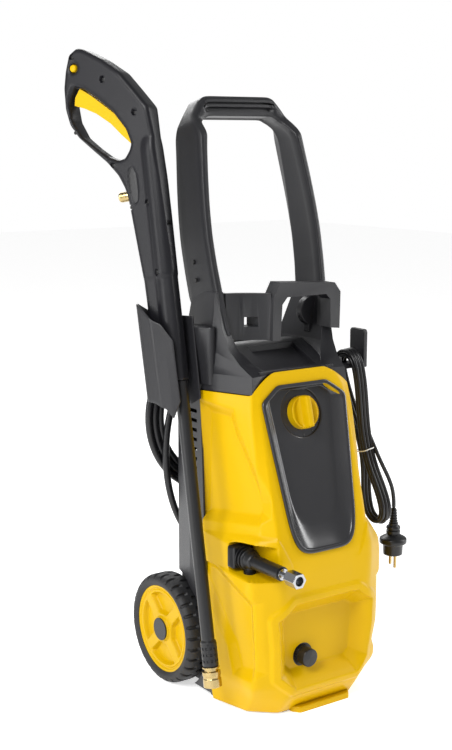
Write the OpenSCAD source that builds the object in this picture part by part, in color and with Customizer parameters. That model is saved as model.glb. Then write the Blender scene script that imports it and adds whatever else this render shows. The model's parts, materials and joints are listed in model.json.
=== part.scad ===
// Upright electric pressure washer on two wheels, with its spray gun in a sheath at the side.
// Millimetres. +Z is up, the front faces -Y, and the origin is on the base underside.

/* [Body] */
// Half of the body's width at the seam between front and rear covers
body_half_w = 120; // [116:1:124]
// Wall thickness of the moulded covers
wall = 3; // [2:0.5:4]
// Lean of the panel face from the vertical, in degrees
panel_lean = 15; // [14:0.5:16]
// Back face of the rear cover
rear_y = 104; // [102:1:106]
// Height where the covers end and the top cover starts
cover_top = 462; // [458:1:464]

/* [Wheels] */
// Outer radius of a tyre
wheel_r = 83; // [78:1:85]
// Width of a tyre
wheel_w = 40; // [34:1:40]
// Outer face of each wheel, from the middle of the body
wheel_out = 141; // [141:1:146]
// Axle position behind the origin
axle_y = 94; // [92:1:95]
// Number of cross lugs around a tyre
lug_count = 36; // [24:1:40]

/* [Handle] */
// Backward lean of the push handle, in degrees
handle_lean = 13.2; // [12:0.2:14]
// Length of the handle above the top cover
handle_len = 287; // [275:1:295]
// Front to back depth of the handle's band
handle_depth = 66; // [58:1:70]

/* [Gun and lance] */
// Backward lean of the gun in its sheath, in degrees
gun_lean = 10.43; // [10:0.01:11]
// Turn of the gun about its own length, in degrees
gun_turn = 113.85; // [110:0.05:116]
// Radius of the lance tube
lance_r = 9.5; // [8:0.5:10]
// Distance from the gun's datum down to the lance's lower end
lance_drop = 379; // [370:1:380]

/* [Cords] */
// Diameter of the mains lead
cord_d = 6.2; // [5.5:0.1:7]
// Diameter of the high-pressure hose
hose_d = 10.5; // [9:0.5:11]

/* [Hidden] */
$fn = 64;
eps = 0.01;
yellow = "gold";
black = "#2b2b2d";
grey = "#444446";

// ---- small helpers -------------------------------------------------------

function unit(v) = v / norm(v);

// One corner of a counter-clockwise outline moved inwards by d
function mitre(p, i, d) = let(n = len(p), u = unit(p[i] - p[(i + n - 1) % n]),
    v = unit(p[(i + 1) % n] - p[i]), nu = [-u[1], u[0]], nv = [-v[1], v[0]])
    p[i] + d * (nu + nv) / (1 + nu * nv);

function inset(p, d) = [for (i = [0:len(p) - 1]) mitre(p, i, d)];

// The right half of a symmetric outline, listed from the bottom up, made whole
function whole(p) = concat(p, [for (i = [len(p) - 1:-1:0]) [-p[i][0], p[i][1]]]);

// A closed solid through rings that all have the same number of points
module loft(rings) {
    n = len(rings[0]);
    m = len(rings);
    points = [for (r = rings) for (p = r) p];
    sides = [for (j = [0:m - 2]) for (i = [0:n - 1])
        for (t = [[[0, i], [0, (i + 1) % n], [1, (i + 1) % n]], [[0, i], [1, (i + 1) % n], [1, i]]])
            [for (c = [2, 1, 0]) (j + t[c][0]) * n + t[c][1]]];
    ends = [[for (i = [0:n - 1]) i], [for (i = [n - 1:-1:0]) (m - 1) * n + i]];
    polyhedron(points, concat(sides, ends), convexity = 6);
}

function level(p, z) = [for (q = p) [q[0], q[1], z]];

// A tube of diameter d along a list of points, with n sides
function frame_at(v) = let(a = abs(v[2]) < 0.9 ? [0, 0, 1] : [1, 0, 0], s = unit(cross(v, a)))
    [s, cross(v, s)];
function carried(side, v) = unit(side - v * (side * v));
function sides_along(dirs, k) = k == 0 ? [frame_at(dirs[0])[0]]
    : let(before = sides_along(dirs, k - 1)) concat(before, [carried(before[k - 1], dirs[k])]);
function directions(p) = [for (i = [0:len(p) - 1])
    unit(p[min(i + 1, len(p) - 1)] - p[max(i - 1, 0)])];

module tube_along(p, d, n) {
    dirs = directions(p);
    sides = sides_along(dirs, len(p) - 1);
    loft([for (i = [0:len(p) - 1]) [for (k = [0:n - 1]) let(a = 360 * k / n)
        p[i] + d / 2 * (sides[i] * cos(a) + cross(dirs[i], sides[i]) * sin(a))]]);
}

// A smooth line through route points, with n steps between neighbours
function between(a, b, c, d, t) = ((-t + 2 * t * t - t * t * t) * a
    + (2 - 5 * t * t + 3 * t * t * t) * b + (t + 4 * t * t - 3 * t * t * t) * c
    + (t * t * t - t * t) * d) / 2;
function smooth(p, n) = concat([for (i = [0:len(p) - 2]) for (k = [0:n - 1])
    between(p[max(i - 1, 0)], p[i], p[i + 1], p[min(i + 2, len(p) - 1)], k / n)], [p[len(p) - 1]]);

module along_y(y0, y1) {
    translate([0, y1, 0]) rotate([90, 0, 0]) linear_extrude(y1 - y0) children();
}

module along_x(x0, x1) {
    translate([x0, 0, 0]) rotate([90, 0, 90]) linear_extrude(x1 - x0) children();
}

module disc_y(r, y0, y1) {
    translate([0, y1, 0]) rotate([90, 0, 0]) cylinder(r = r, h = y1 - y0);
}

module disc_x(r, x0, x1) {
    translate([x0, 0, 0]) rotate([0, 90, 0]) cylinder(r = r, h = x1 - x0);
}

module box(a, b) {
    translate(a) cube(b - a);
}

module ring(r, hole, h) {
    difference() {
        cylinder(r = r, h = h);
        translate([0, 0, -1]) cylinder(r = hole, h = h + 2);
    }
}

module both_sides() {
    children();
    mirror([1, 0, 0]) children();
}

// ---- covers --------------------------------------------------------------

// Front cover at each height: front face, its half width, corner and seam
front_levels = [
    [8, -106, 66, [100, -76], -9],
    [30, -124, 64, [105, -94], -5],
    [50, -132, 62, [113, -106], -2],
    [110, -131, 76, [115, -110], 1],
    [170, -128, 78, [117, -108], 4],
    [215, -129, 80, [118, -106], 6],
    [234, -128, 80, [116, -105], 6.5],
    [270, -120, 80, [94, -96], 8],
    [320, -106.6, 80, [94, -90], 10],
    [380, -90.5, 79, [92, -81], 12],
    [430, -77, 78, [91, -71], 14],
    [462, -68.5, 74, [87, -65], 16],
    [490, -61, 56, [78, -59], 17]];

function seam_x(z) = z < 50 ? body_half_w - 6 + (z - 8) / 9 : body_half_w - (z < 170 ? 1 : 0);
function front_ring(r, d) = level(whole([
    [r[2] - 0.6 * d, r[1] + d], [r[3][0] - d, r[3][1] + 0.6 * d],
    [seam_x(r[0]) - d, r[4] - 1], [seam_x(r[0]) - d, r[4] + (d > 0 ? 12 : 0)]]), r[0]);

module front_outer() {
    loft([for (r = front_levels) front_ring(r, 0)]);
}

module front_inner() {
    loft([for (r = front_levels) front_ring([r[0] < 20 ? 0 : r[0] + (r[0] > 480 ? 6 : 0),
        r[1], r[2], r[3], r[4]], wall)]);
}

octagon = whole([[54, 51], [74, 68], [80, 149], [55, 167]]);
octagon_floor = -108;
inlet_x = -26;
inlet_z = 84;
outlet_x = -100;
outlet_z = 232;
notch_back = -52;

// The recess round the water inlet and the notch for the outlet, grown by g
module front_pockets(g) {
    along_y(-150, octagon_floor + g) polygon(inset(octagon, -g));
    box([-140, -150, outlet_z - 22 - g], [outlet_x + 18 + g, notch_back + g, outlet_z + 22 + g]);
}

panel_outline = whole([[38, 0], [47, 4], [53, 12], [57.5, 31], [60.7, 63], [64.8, 104],
    [68.9, 145], [72.6, 187], [75.2, 217], [44, 240]]);
panel_at = [0, -128, 240];
knob_s = 197.7;

module on_panel() {
    translate(panel_at) rotate([90 - panel_lean, 0, 0]) children();
}

module front_cover() {
    color(yellow) difference() {
        union() {
            difference() {
                difference() {
                    front_outer();
                    front_pockets(0);
                }
                difference() {
                    front_inner();
                    front_pockets(wall);
                }
            }
            box([-60, -110, 2], [60, -103, 12]);
        }
        on_panel() translate([0, 0, -40]) linear_extrude(60) polygon(inset(panel_outline, 3));
        both_sides() along_y(-100, 60)
            polygon([[46, 494], [88, cover_top - 1], [140, cover_top - 1], [140, 510], [46, 510]]);
        translate([inlet_x, 0, inlet_z]) disc_y(15, -120, -90);
        translate([outlet_x, 0, outlet_z]) disc_y(7, -60, -40);
    }
}

rear_levels = [[8, -9], [30, -5], [50, -2], [110, 1], [170, 4], [215, 6], [245, 7], [275, 8], [320, 10],
    [380, 12], [430, 14], [cover_top, 16]];

function rear_ring(z, seam, d) = level(whole([
    [seam_x(z) - 1.5 - d, seam - (d > 0 ? 8 : 0)], [seam_x(z) - 1.5 - d, 44],
    [109 - d, 88 - d / 2], [92 - d / 2, rear_y - d], [80, rear_y - d]]), z);

well_r = wheel_r + 8;
well_x = 95;

module wheel_wells(g) {
    both_sides() translate([0, axle_y, wheel_r]) disc_x(well_r + g, well_x - g, 150);
}

module rear_cover() {
    color(grey) difference() {
        difference() {
            loft([for (r = rear_levels) rear_ring(r[0], r[1], 0)]);
            wheel_wells(0);
        }
        difference() {
            loft([for (r = rear_levels) rear_ring(r[0] < 20 ? 0 : r[0] + (r[0] > 450 ? 5 : 0), r[1], wall)]);
            wheel_wells(wall);
        }
        for (k = [0:7]) both_sides() box([100, 24, 328 + 14 * k], [130, 64, 333 + 14 * k]);
        for (k = [0:9]) both_sides() box([10, 90, 200 + 16 * k], [70, 120, 206 + 16 * k]);
        translate([0, axle_y, wheel_r]) disc_x(6.3, -110, 110);
        for (z = screw_z) both_sides() translate([screw_x, 0, z]) disc_y(2.2, 80, 120);
        translate(gland_at) disc_x(5, -20, 20);
    }
    color(grey) translate(gland_at) difference() {
        disc_x(13, -14, 4);
        disc_x(5, -20, 20);
        translate([-40, -60, -30]) cube([31, 66, 60]);
    }
}

gland_at = [108, 86, 250];

screw_x = 86;
screw_z = [205, 300, 435];

module body_screws() {
    color("silver") {
        for (z = screw_z) both_sides() translate([screw_x, 0, z]) {
            disc_y(2.1, 92, rear_y + eps);
            disc_y(4.2, rear_y, rear_y + 1.2);
        }
        lean_handle() both_sides() for (s = [24, 50]) translate([0, 44, s]) disc_x(3.5, 102.8, 104.6);
        on_gun() for (s = [75, 105]) translate([14, 0, s]) disc_y(3.5, 23, 24.6);
    }
}

base_outline = whole([[58, -102], [97, -73], [110, -8], [110, 2], [93, 6], [93, rear_y - 2]]);

module base_plate() {
    color(black) {
        difference() {
            union() {
                translate([0, 0, 4]) linear_extrude(4) polygon(base_outline);
                box([-56, -100, 0], [56, -40, 4 + eps]);
                box([-24, -40 - eps, 0], [24, 24, 4 + eps]);
                both_sides() box([70, axle_y - 14, 7], [78, rear_y - 4, wheel_r + 12]);
            }
            translate([0, axle_y, wheel_r]) disc_x(6.03, -90, 90);
        }
    }
}

panel_dish = inset(panel_outline, 9);

module control_panel() {
    color(black) on_panel() difference() {
        union() {
            translate([0, 0, -14]) linear_extrude(14.2) polygon(inset(panel_outline, 3.4));
            translate([0, 0, 0.2]) linear_extrude(2.8) polygon(panel_outline);
        }
        translate([0, 0, -12.4]) linear_extrude(20) polygon(panel_dish);
        translate([0, knob_s, -20]) cylinder(r = 4.2, h = 20);
    }
}

module power_knob() {
    color(yellow) on_panel() translate([0, knob_s, 0]) {
        translate([0, 0, -30]) cylinder(r = 4, h = 20);
        translate([0, 0, -12]) cylinder(r = 27, h = 12);
        intersection() {
            translate([0, 0, -eps]) cylinder(r = 26, h = 12);
            translate([-6, -27, -eps]) cube([12, 54, 12]);
        }
    }
}

module switch_unit() {
    color(grey) on_panel() difference() {
        translate([-22, knob_s - 24, -48]) cube([44, 48, 33.9]);
        translate([0, knob_s, -32]) cylinder(r = 4.05, h = 20);
    }
}

// ---- top cover and handles ----------------------------------------------

// One shoulder at each height: outline from the outer front round to the inner front
shoulder_levels = [
    [cover_top, [[86, -65], [118, 15], [107, 90], [90, 102], [50, 102], [46, -60]]],
    [486, [[83, -62], [113, 11], [105, 86], [90, 100], [56, 100], [46, -57]]],
    [500, [[88, -40], [110, 8], [104, 82], [90, 96], [64, 96], [62, -32]]],
    [520, [[94, -22], [107, 7], [102, 78], [91, 88], [74, 86], [76, -16]]],
    [550, [[98, -10], [104, 6], [101, 73], [94, 80], [81, 78], [85, -7]]],
    [575, [[99, -4], [102, 4], [100, 67], [94, 71], [85, 69], [88, -2]]],
    [600, [[99.3, 0.5], [100.5, 5], [99, 60], [96, 62], [87, 60], [88.5, 0.5]]]];

module shoulder() {
    loft([for (r = shoulder_levels) level(r[1], r[0])]);
}

deck_profile = [[-61, cover_top], [102, cover_top], [102, 500], [40, 520], [16, 520], [-49, 491],
    [-57, 491], [-57.6, 485]];

module top_cover() {
    color(black) difference() {
        union() {
            along_x(-66, 66) polygon(deck_profile);
            both_sides() shoulder();
        }
        along_x(-42, 42) polygon([[-46, 485], [8, 509], [12, 540], [-46, 520]]);
        along_x(-62, 62)
            polygon([[-52, 400], [97, 400], [97, 494], [38, 505], [12, 503], [-46, 478], [-52, 470]]);
        both_sides() box([70, -18, 400], [95, 80, 480]);
        along_y(-90, -56.5) polygon([[-88, 461], [88, 461], [46, 494], [-46, 494]]);
        on_panel() translate([0, 0, -14.02]) linear_extrude(17.04) polygon(inset(panel_outline, -0.05));
    }
}

module lean_handle() {
    translate([0, 0.5, 600]) rotate([-handle_lean, 0, 0]) children();
}

handle_outer = whole([[99.5, 0], [102, 41], [103.3, 82], [101.5, 123], [97.5, 164], [92, 205],
    [90, 240], [82, 261], [64, handle_len]]);
handle_inner = whole([[88, -20], [91.5, 41], [92.5, 82], [91, 123], [87.5, 164], [83, 205], [77, 230],
    [68, 249], [56, 257]]);

module handle_frame() {
    color(black) lean_handle() intersection() {
        along_y(0, handle_depth) difference() {
            polygon(handle_outer);
            polygon(handle_inner);
        }
        along_x(-120, 120) polygon([[0, 0], [handle_depth, handle_depth * tan(handle_lean)],
            [handle_depth, 230], [handle_depth - 4, handle_len], [22, handle_len], [20, 255], [0, 228]]);
    }
}

// Points of an arc from angle a0 to a1 about c
function arc(c, r, a0, a1, n) = [for (k = [0:n]) let(a = a0 + (a1 - a0) * k / n) c + r * [cos(a), sin(a)]];

band_c = [-92, -96];
band_r = 104;

module carry_handle() {
    color(black) difference() {
        union() {
            intersection() {
                translate([0, 0, 530]) linear_extrude(70)
                    polygon(concat(arc(band_c, band_r, 86, 46, 10), arc(band_c, band_r - 9, 46, 86, 10)));
                along_y(-60, 40) polygon([[-98, 528], [-18, 528], [-18, 596], [-98, 598]]);
            }
            box([-62, -6, 545], [-36, 11.5, 567]);
            along_y(-34, -10) polygon([[-27, 529], [-13, 529], [-10, 580], [-1, 590], [70, 590], [78, 582],
                [79, 540], [96, 538], [97, 592], [86, 606], [-14, 612], [-26, 590]]);
            along_y(-11, 2) polygon([[82, 540], [96, 538], [97, 592], [84, 600]]);
        }
        along_y(-60, 40) polygon([[-58, 549], [-40, 549], [-40, 563], [-58, 563]]);
    }
}

module bottle_seat() {
    color(black) {
        translate([84, 0, 560]) disc_y(22, 14, 26);
        box([76, 14, 528], [92, 26, 545]);
    }
}

// ---- hooks and sheath ----------------------------------------------------

hook_at = [112, 0, 470];

module on_hook() {
    translate(hook_at) children();
}

module cord_hook() {
    color(black) on_hook() {
        box([-6, -16, -7], [5, 16, 20]);
        box([4, -12.5, 0], [54.5, 12.5, 8]);
        difference() {
            box([47.5, -17, 0], [54.5, 17, 58]);
            along_x(40, 60) polygon([[13, 60], [18, 60], [18, 53]]);
            along_x(40, 60) polygon([[-13, 60], [-18, 60], [-18, 53]]);
        }
    }
}

hook_x = -18;

module hose_hook() {
    color(black) along_x(hook_x - 20, hook_x + 20) polygon([[102, 466], [106, 466], [106, 484],
        [142, 488], [142, 508], [138, 508], [138, 495.5], [106, 495.5], [106, 497], [102, 497]]);
}

module on_gun() {
    translate([-150, 7, 421]) rotate([-gun_lean, 0, 0]) rotate([0, 0, gun_turn]) children();
}

module gun_holster() {
    color(black) {
        on_gun() {
            along_y(20, 23) polygon([[4, 6], [14, 24], [31, 31], [50, 34], [50, 172], [41, 168],
                [18, 145], [7, 139], [-9, 114], [-5, 23]]);
            along_y(-23, -20) polygon([[9, 2], [20, 28], [50, 34], [50, 160], [30, 153], [-20, 146],
                [-20, 30], [0, 22]]);
            box([47, -23, 34], [50, 23, 172]);
            difference() {
                box([-18, -20 - eps, 33], [47 + eps, 20 + eps, 36]);
                translate([0, 0, 20]) cylinder(r = 14.2, h = 30);
            }
        }
        difference() {
            box([-135, -2, 470], [-103, 44, 552]);
            on_gun() box([-100, -22, -100], [150, 100, 400]);
        }
    }
}

// ---- motor and pump ------------------------------------------------------

motor_y = 20;

module on_motor(z) {
    translate([0, motor_y, z]) children();
}

module motor_casing() {
    color("lightgrey") on_motor(0) difference() {
        translate([0, 0, 205]) cylinder(r = 65, h = 170);
        translate([0, 0, 220]) cylinder(r = 58, h = 138);
        translate([0, 0, 208]) cylinder(r = 16, h = 20);
        translate([0, 0, 350]) cylinder(r = 16, h = 21);
        translate([0, 0, 200]) cylinder(r = 12, h = 180);
        for (k = [0:7]) rotate([0, 0, 45 * k]) translate([38, 0, 350]) cylinder(r = 7, h = 40);
    }
}

module stator_winding() {
    color("peru") on_motor(235) ring(57.8, 36, 110);
}

module motor_bearings() {
    color("silver") on_motor(0) for (z = [208, 362]) translate([0, 0, z]) ring(16, 8.03, 9);
}

module motor_rotor() {
    color("silver") on_motor(0) {
        translate([0, 0, 165]) cylinder(r = 8, h = 240);
        translate([0, 0, 240]) cylinder(r = 35.4, h = 100);
    }
}

module cooling_fan() {
    color(black) on_motor(385) {
        ring(14, 8, 15);
        ring(50, 46, 3);
        for (k = [0:8]) rotate([0, 0, 40 * k]) translate([12, -1, 0]) cube([36, 2, 12]);
    }
}

module swash_plate() {
    color("silver") on_motor(0) difference() {
        translate([0, 0, 160]) cylinder(r = 30, h = 32);
        translate([0, 0, 150]) cylinder(r = 8, h = 50);
        translate([0, 0, 172]) rotate([8, 0, 0]) translate([-50, -50, -40]) cube([100, 100, 40]);
    }
}

module pump_housing() {
    color("lightgrey") on_motor(150) ring(55, 48, 55);
}

piston_at = [for (k = [0:2]) 20 * [cos(120 * k + 30), sin(120 * k + 30)]];

module pump_head() {
    color("lightgrey") difference() {
        union() {
            on_motor(62) cylinder(r = 50, h = 88);
            translate([inlet_x, 0, inlet_z]) disc_y(12, -40, 0);
            translate([0, motor_y, 110]) disc_x(12, -60, -30);
            both_sides() box([24, 4, 8], [40, 36, 64]);
        }
        for (p = piston_at) translate([p[0], motor_y + p[1], 95]) cylinder(r = 6.03, h = 60);
        translate([inlet_x, 0, inlet_z]) disc_y(7, -41, -20);
        translate([0, motor_y, 110]) disc_x(3.5, -61, -40);
    }
}

module pump_pistons() {
    color("silver") for (p = piston_at) translate([p[0], motor_y + p[1], 100]) {
        cylinder(r = 6, h = 62);
        translate([0, 0, 60]) cylinder(r = 9, h = 3);
    }
}

module piston_springs() {
    helix = [for (k = [0:30]) [7.6 * cos(36 * k), 7.6 * sin(36 * k), 151.2 + 7.4 * k / 30]];
    color("silver") for (p = piston_at) translate([p[0], motor_y + p[1], 0]) tube_along(helix, 1.6, 6);
}

module inlet_connector() {
    color("silver") translate([inlet_x, 0, inlet_z]) difference() {
        union() {
            disc_y(11, -124, -60);
            disc_y(17, -104.9, -101);
        }
        disc_y(7.5, -130, -50);
    }
}

module inlet_pipe() {
    color(grey) translate([inlet_x, 0, inlet_z]) difference() {
        disc_y(10, -60, -40);
        disc_y(7, -70, -30);
    }
}

module inlet_cap() {
    color(black) translate([inlet_x, 0, inlet_z]) difference() {
        union() {
            disc_y(13.8, -127, -112);
            box([-2, -133, -9], [2, -127 + eps, 9]);
        }
        disc_y(11.05, -124.2, -100);
    }
}

pipe_route = smooth([[-60, motor_y, 110], [-76, motor_y, 112], [-82, motor_y, 126], [-82, motor_y, 170],
    [-82, motor_y, 212], [-84, 10, 229], [-95, -16, outlet_z], [-100, -36, outlet_z],
    [-100, -51.9, outlet_z]], 3);

module outlet_pipe() {
    color("silver") tube_along(pipe_route, 11, 10);
}

module on_outlet() {
    translate([outlet_x, 0, outlet_z]) rotate([90, 0, 0]) children();
}

module outlet_boot() {
    color(black) {
        on_outlet() rotate_extrude() polygon([[3.1, 52], [15.5, 52], [15.5, 58], [14, 60], [15.5, 62],
            [15.5, 67], [14, 69], [15.5, 71], [15.5, 76], [14, 78], [15.5, 80], [15.5, 86], [12, 92],
            [3.1, 92]]);
        translate([outlet_x, -75, outlet_z - 22]) difference() {
            cylinder(r = 9, h = 8);
            translate([0, 0, -1]) cylinder(r = 5, h = 10);
        }
    }
}

module outlet_sleeve() {
    color(black) on_outlet() translate([0, 0, 92]) ring(10, 3.1, 62.5);
}

module outlet_stem() {
    color("silver") on_outlet() {
        translate([0, 0, 52]) cylinder(r = 3, h = 124);
        translate([0, 0, 154.5]) cylinder(r = 8, h = 3.5);
        translate([0, 0, 173.7]) cylinder(r = 5.4, h = 2.6);
    }
}

module outlet_nut() {
    color("gold") on_outlet() difference() {
        translate([0, 0, 170.6]) linear_extrude(22.4)
            polygon([for (k = [0:5]) 11.26 * [cos(60 * k), sin(60 * k)]]);
        translate([0, 0, 177]) cylinder(r = 6.6, h = 30);
        translate([0, 0, 173.5]) cylinder(r = 5.6, h = 10);
        translate([0, 0, 160]) cylinder(r = 3.1, h = 20);
    }
}

module capacitor() {
    color("silver") translate([70, 72, 262]) {
        cylinder(r = 20, h = 80);
        translate([-4, -3, 79]) cube([8, 6, 9]);
    }
}

// ---- wheels --------------------------------------------------------------

wheel_in = wheel_out - wheel_w;

module at_axle() {
    translate([0, axle_y, wheel_r]) children();
}

module wheel_axle() {
    color("silver") at_axle() disc_x(6, -138, 138);
}

module axle_washers() {
    color("silver") at_axle() both_sides() {
        difference() {
            disc_x(10, well_x + 0.05, wheel_in + 1.9);
            disc_x(6.03, 60, 150);
        }
        difference() {
            disc_x(9, 136.2, 138);
            disc_x(6.03, 60, 150);
        }
    }
}

module tyre() {
    at_axle() rotate([0, 90, 0]) difference() {
        rotate_extrude($fn = 96) polygon([[66, wheel_in + 3], [74, wheel_in], [80, wheel_in + 2],
            [wheel_r, wheel_in + 6], [wheel_r, wheel_out - 6], [80, wheel_out - 2], [74, wheel_out],
            [66, wheel_out - 3]]);
        for (k = [0:lug_count - 1]) rotate([0, 0, 360 * k / lug_count]) {
            translate([wheel_r - 3, -3, wheel_in - 1]) cube([8, 6, 15]);
            rotate([0, 0, 180 / lug_count]) translate([wheel_r - 3, -3, wheel_out - 14]) cube([8, 6, 15]);
        }
    }
}

module rim() {
    at_axle() rotate([0, 90, 0]) difference() {
        union() {
            rotate_extrude($fn = 96) polygon([[6.05, 103], [18, 103], [18, 122], [57, 122], [57, 106],
                [66, 104], [66, wheel_out - 3], [58, wheel_out - 2], [52, 127], [20, 127], [20, 139],
                [6.05, 139]]);
            for (k = [0:3]) rotate([0, 0, 45 + 90 * k]) translate([14, -8, 125]) cube([46, 16, 13]);
        }
        translate([0, 0, 136]) cylinder(r = 12, h = 10);
        translate([0, 0, 90]) cylinder(r = 6.05, h = 60);
        for (k = [0:3]) rotate([0, 0, 45 + 90 * k]) for (m = [-1, 1])
            translate([46, m * 14, 110]) cylinder(r = 3.5, h = 30);
    }
}

module hub_cap() {
    at_axle() rotate([0, 90, 0]) {
        translate([0, 0, 139]) cylinder(r = 17, h = 2);
        translate([0, 0, 138.2]) ring(11.95, 10, 1);
    }
}

module tyre_right() {
    color(black) tyre();
}

module tyre_left() {
    color(black) mirror([1, 0, 0]) tyre();
}

module rim_right() {
    color(yellow) rim();
}

module rim_left() {
    color(yellow) mirror([1, 0, 0]) rim();
}

module hub_cap_right() {
    color(black) hub_cap();
}

module hub_cap_left() {
    color(black) mirror([1, 0, 0]) hub_cap();
}

// ---- mains lead and hose -------------------------------------------------

module cord_gland() {
    color(black) translate(gland_at) rotate([0, 90, 0]) rotate_extrude() polygon([[3.2, 4], [12, 4],
        [12, 7], [9, 8], [9, 10], [8, 11], [8.6, 13], [7.4, 14], [8, 16], [6.8, 17], [7.4, 19], [6.2, 20],
        [6.8, 22], [5.6, 23], [5.4, 27], [3.2, 27]]);
}

loop_x = 32.6;
top_c = [0, 2];
bottom_c = [0, -219];
outer_r = 27.9;
inner_r = 15.5;
tie_z = -128;

module on_hank() {
    on_hook() translate([loop_x, 0, 0]) rotate([-12.9, -4.6, 0]) children();
}

module power_cord_hank() {
    color(black) on_hank() translate([-9.3, 0, 0]) along_x(0, 18.6) difference() {
        polygon(concat(arc(top_c, outer_r, 0, 180, 20), [[-24, -40], [-12.6, tie_z + 12],
            [-12.6, tie_z - 12], [-25, -185]], arc(bottom_c, outer_r, 180, 360, 20),
            [[25, -185], [12.6, tie_z - 12], [12.6, tie_z + 12], [24, -40]]));
        polygon(concat(arc(top_c, inner_r, 0, 180, 16),
            [[-11, -40], [-1, tie_z + 36], [1, tie_z + 36], [11, -40]]));
        polygon(concat(arc(bottom_c, inner_r, 180, 360, 16),
            [[12, -185], [1, tie_z - 34], [-1, tie_z - 34], [-12, -185]]));
    }
}

module cord_tie() {
    color("white") on_hank() difference() {
        box([-11.3, -14.6, tie_z - 4], [11.3, 14.6, tie_z + 4]);
        box([-9.4, -12.7, tie_z - 9], [9.4, 12.7, tie_z + 9]);
    }
}

lead_route = smooth([[118, 86, 250], [134, 86, 250], [146, 86, 247], [157, 86, 236], [160, 84, 220],
    [160, 72, 204], [160, 58, 203], [160, 44, 218], [158, 40, 250], [154, 38, 320], [147, 34, 400],
    [141, 30, 450], [138.6, 25, 478]], 2);

module power_cord_lead() {
    color(black) tube_along(lead_route, cord_d, 10);
}

plug_at = [192, -56];
tail_route = smooth([[161, -42, 352], [168, -48, 332], [177, -54, 310], [186, -57, 288],
    [191, -56.5, 268], [192, -56, 252]], 3);

module power_cord_tail() {
    color(black) tube_along(tail_route, cord_d, 10);
}

module plug_body() {
    color(black) translate([plug_at[0], plug_at[1], 0]) rotate_extrude() polygon([[0, 179], [15, 179],
        [15.4, 196], [21, 198], [21, 205], [17, 208], [9, 212], [11, 215], [11, 218], [9, 219], [11, 220],
        [11, 224], [8, 227], [6.5, 230], [6.5, 233], [5.4, 234], [6.3, 236], [6, 240], [5, 241], [5.6, 243],
        [5, 247], [4.4, 252], [0, 252]]);
}

module plug_pins() {
    color("silver") translate([plug_at[0], plug_at[1], 0]) for (m = [-9.5, 9.5])
        translate([m * cos(70), m * sin(70), 160]) cylinder(r = 2.4, h = 19);
}

coil_z = 402;
coil_section = [[96, 119], [99, 116.2], [124, 116.2], [127, 119], [127, 134], [124, 137], [99, 137],
    [96, 134]];

module hose_coil() {
    color(black) translate([hook_x, 0, coil_z]) rotate([-90, 0, 0]) rotate_extrude($fn = 96)
        polygon(coil_section);
}

loop_at = [-19, 110.2, 346];
loop_route = concat([for (k = [0:20]) let(a = -32 - 11.6 * k)
    loop_at + [98 * cos(a), 3.4 * max(0, 1 - k / 4), 157.5 * sin(a)]],
    [[8, 112, 503], [32, 115, 491], [53, 118.5, 474], [69.6, 121.1, 452.6]]);

module hose_loop() {
    color(black) tube_along(loop_route, hose_d, 10);
}

// A hose end: nut, sleeve and tail, pointing up from the hose
module hose_end() {
    rotate_extrude() polygon([[0, 0], [7, 0], [7.6, 2], [7, 4], [7.6, 6], [7, 8], [7.6, 10], [7, 12], [7, 20],
        [9, 21], [9, 38], [8, 39], [8, 45], [5.5, 45], [5.5, 30], [0, 30]]);
}

module hose_fittings() {
    color("gold") {
        translate(loop_route[0]) rotate([0, 21.5, 0]) hose_end();
        translate([hook_x + 122, 131.5, 330]) mirror([0, 0, 1]) hose_end();
        translate([hook_x + 122, 131.5, 330]) cylinder(r = hose_d / 2, h = 50);
    }
}

// ---- spray gun -----------------------------------------------------------

gun_outline = [[-10, 58], [37, 58], [39, 172], [40, 207], [44, 247], [51, 320], [55, 336], [64, 355],
    [81, 376], [101, 395], [124, 418], [136, 438], [141, 462], [140, 492], [134, 516], [125, 538],
    [111, 545], [101, 542], [70, 522], [39, 497], [18, 472], [-7, 442], [-11, 402], [-14, 344],
    [-16, 240], [-15, 210], [-11.5, 204]];
guard_hole = [[106, 485], [83, 467], [58, 443], [41, 417], [36, 396], [40, 388], [49, 378], [61, 377],
    [77, 384], [97, 400], [118, 419], [131, 444], [133, 467], [128, 480], [120, 491]];
gun_screw_at = [[119, 534], [69, 492], [21, 437], [129, 427], [70, 371], [17, 311], [47, 308], [12, 212]];
half_t = 17;
pin_at = [30, 402];

function sector(r, a0, a1) = concat([pin_at], arc(pin_at, r, a0, a1, 8));

module gun_half() {
    difference() {
        along_y(0.02, half_t) polygon(gun_outline);
        along_y(-1, half_t + 1) polygon(guard_hole);
        difference() {
            along_y(-1, half_t - 3) polygon(inset(gun_outline, 3));
            along_y(-2, half_t) polygon(inset(guard_hole, -3));
            for (p = gun_screw_at) translate([p[0], 0, p[1]]) disc_y(4.5, -2, half_t);
            translate([pin_at[0], 0, pin_at[1]]) disc_y(6, 7.7, half_t);
        }
        along_y(-1, 7.6) {
            polygon(sector(127.5, 36, 62));
            polygon(sector(92, 24, 66));
            polygon(sector(30, -30, 96));
            translate(pin_at) circle(r = 9);
        }
        translate([pin_at[0], 0, pin_at[1]]) disc_y(2.55, -1, 20);
        translate([121, 0, 517]) disc_y(5.56, -1, 20);
        for (p = gun_screw_at) translate([p[0], 0, p[1]]) {
            disc_y(1.6, -1, 20);
            disc_y(3.6, half_t - 1.6, 20);
        }
        translate([0, 0, 325]) disc_x(7.5, 20, 80);
        translate([0, 0, 50]) cylinder(r = 6.3, h = 20);
    }
}

module gun_shell_left() {
    color(black) on_gun() gun_half();
}

module gun_shell_right() {
    color(black) on_gun() mirror([0, 1, 0]) gun_half();
}

module gun_fixings() {
    color("silver") on_gun() {
        for (p = gun_screw_at) translate([p[0], 0, p[1]]) {
            disc_y(1.5, -12, half_t - 1);
            disc_y(3.5, half_t - 1.5, half_t - 0.3);
        }
        translate([pin_at[0], 0, pin_at[1]]) disc_y(2.5, -half_t + 0.4, half_t - 0.4);
    }
}

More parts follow.
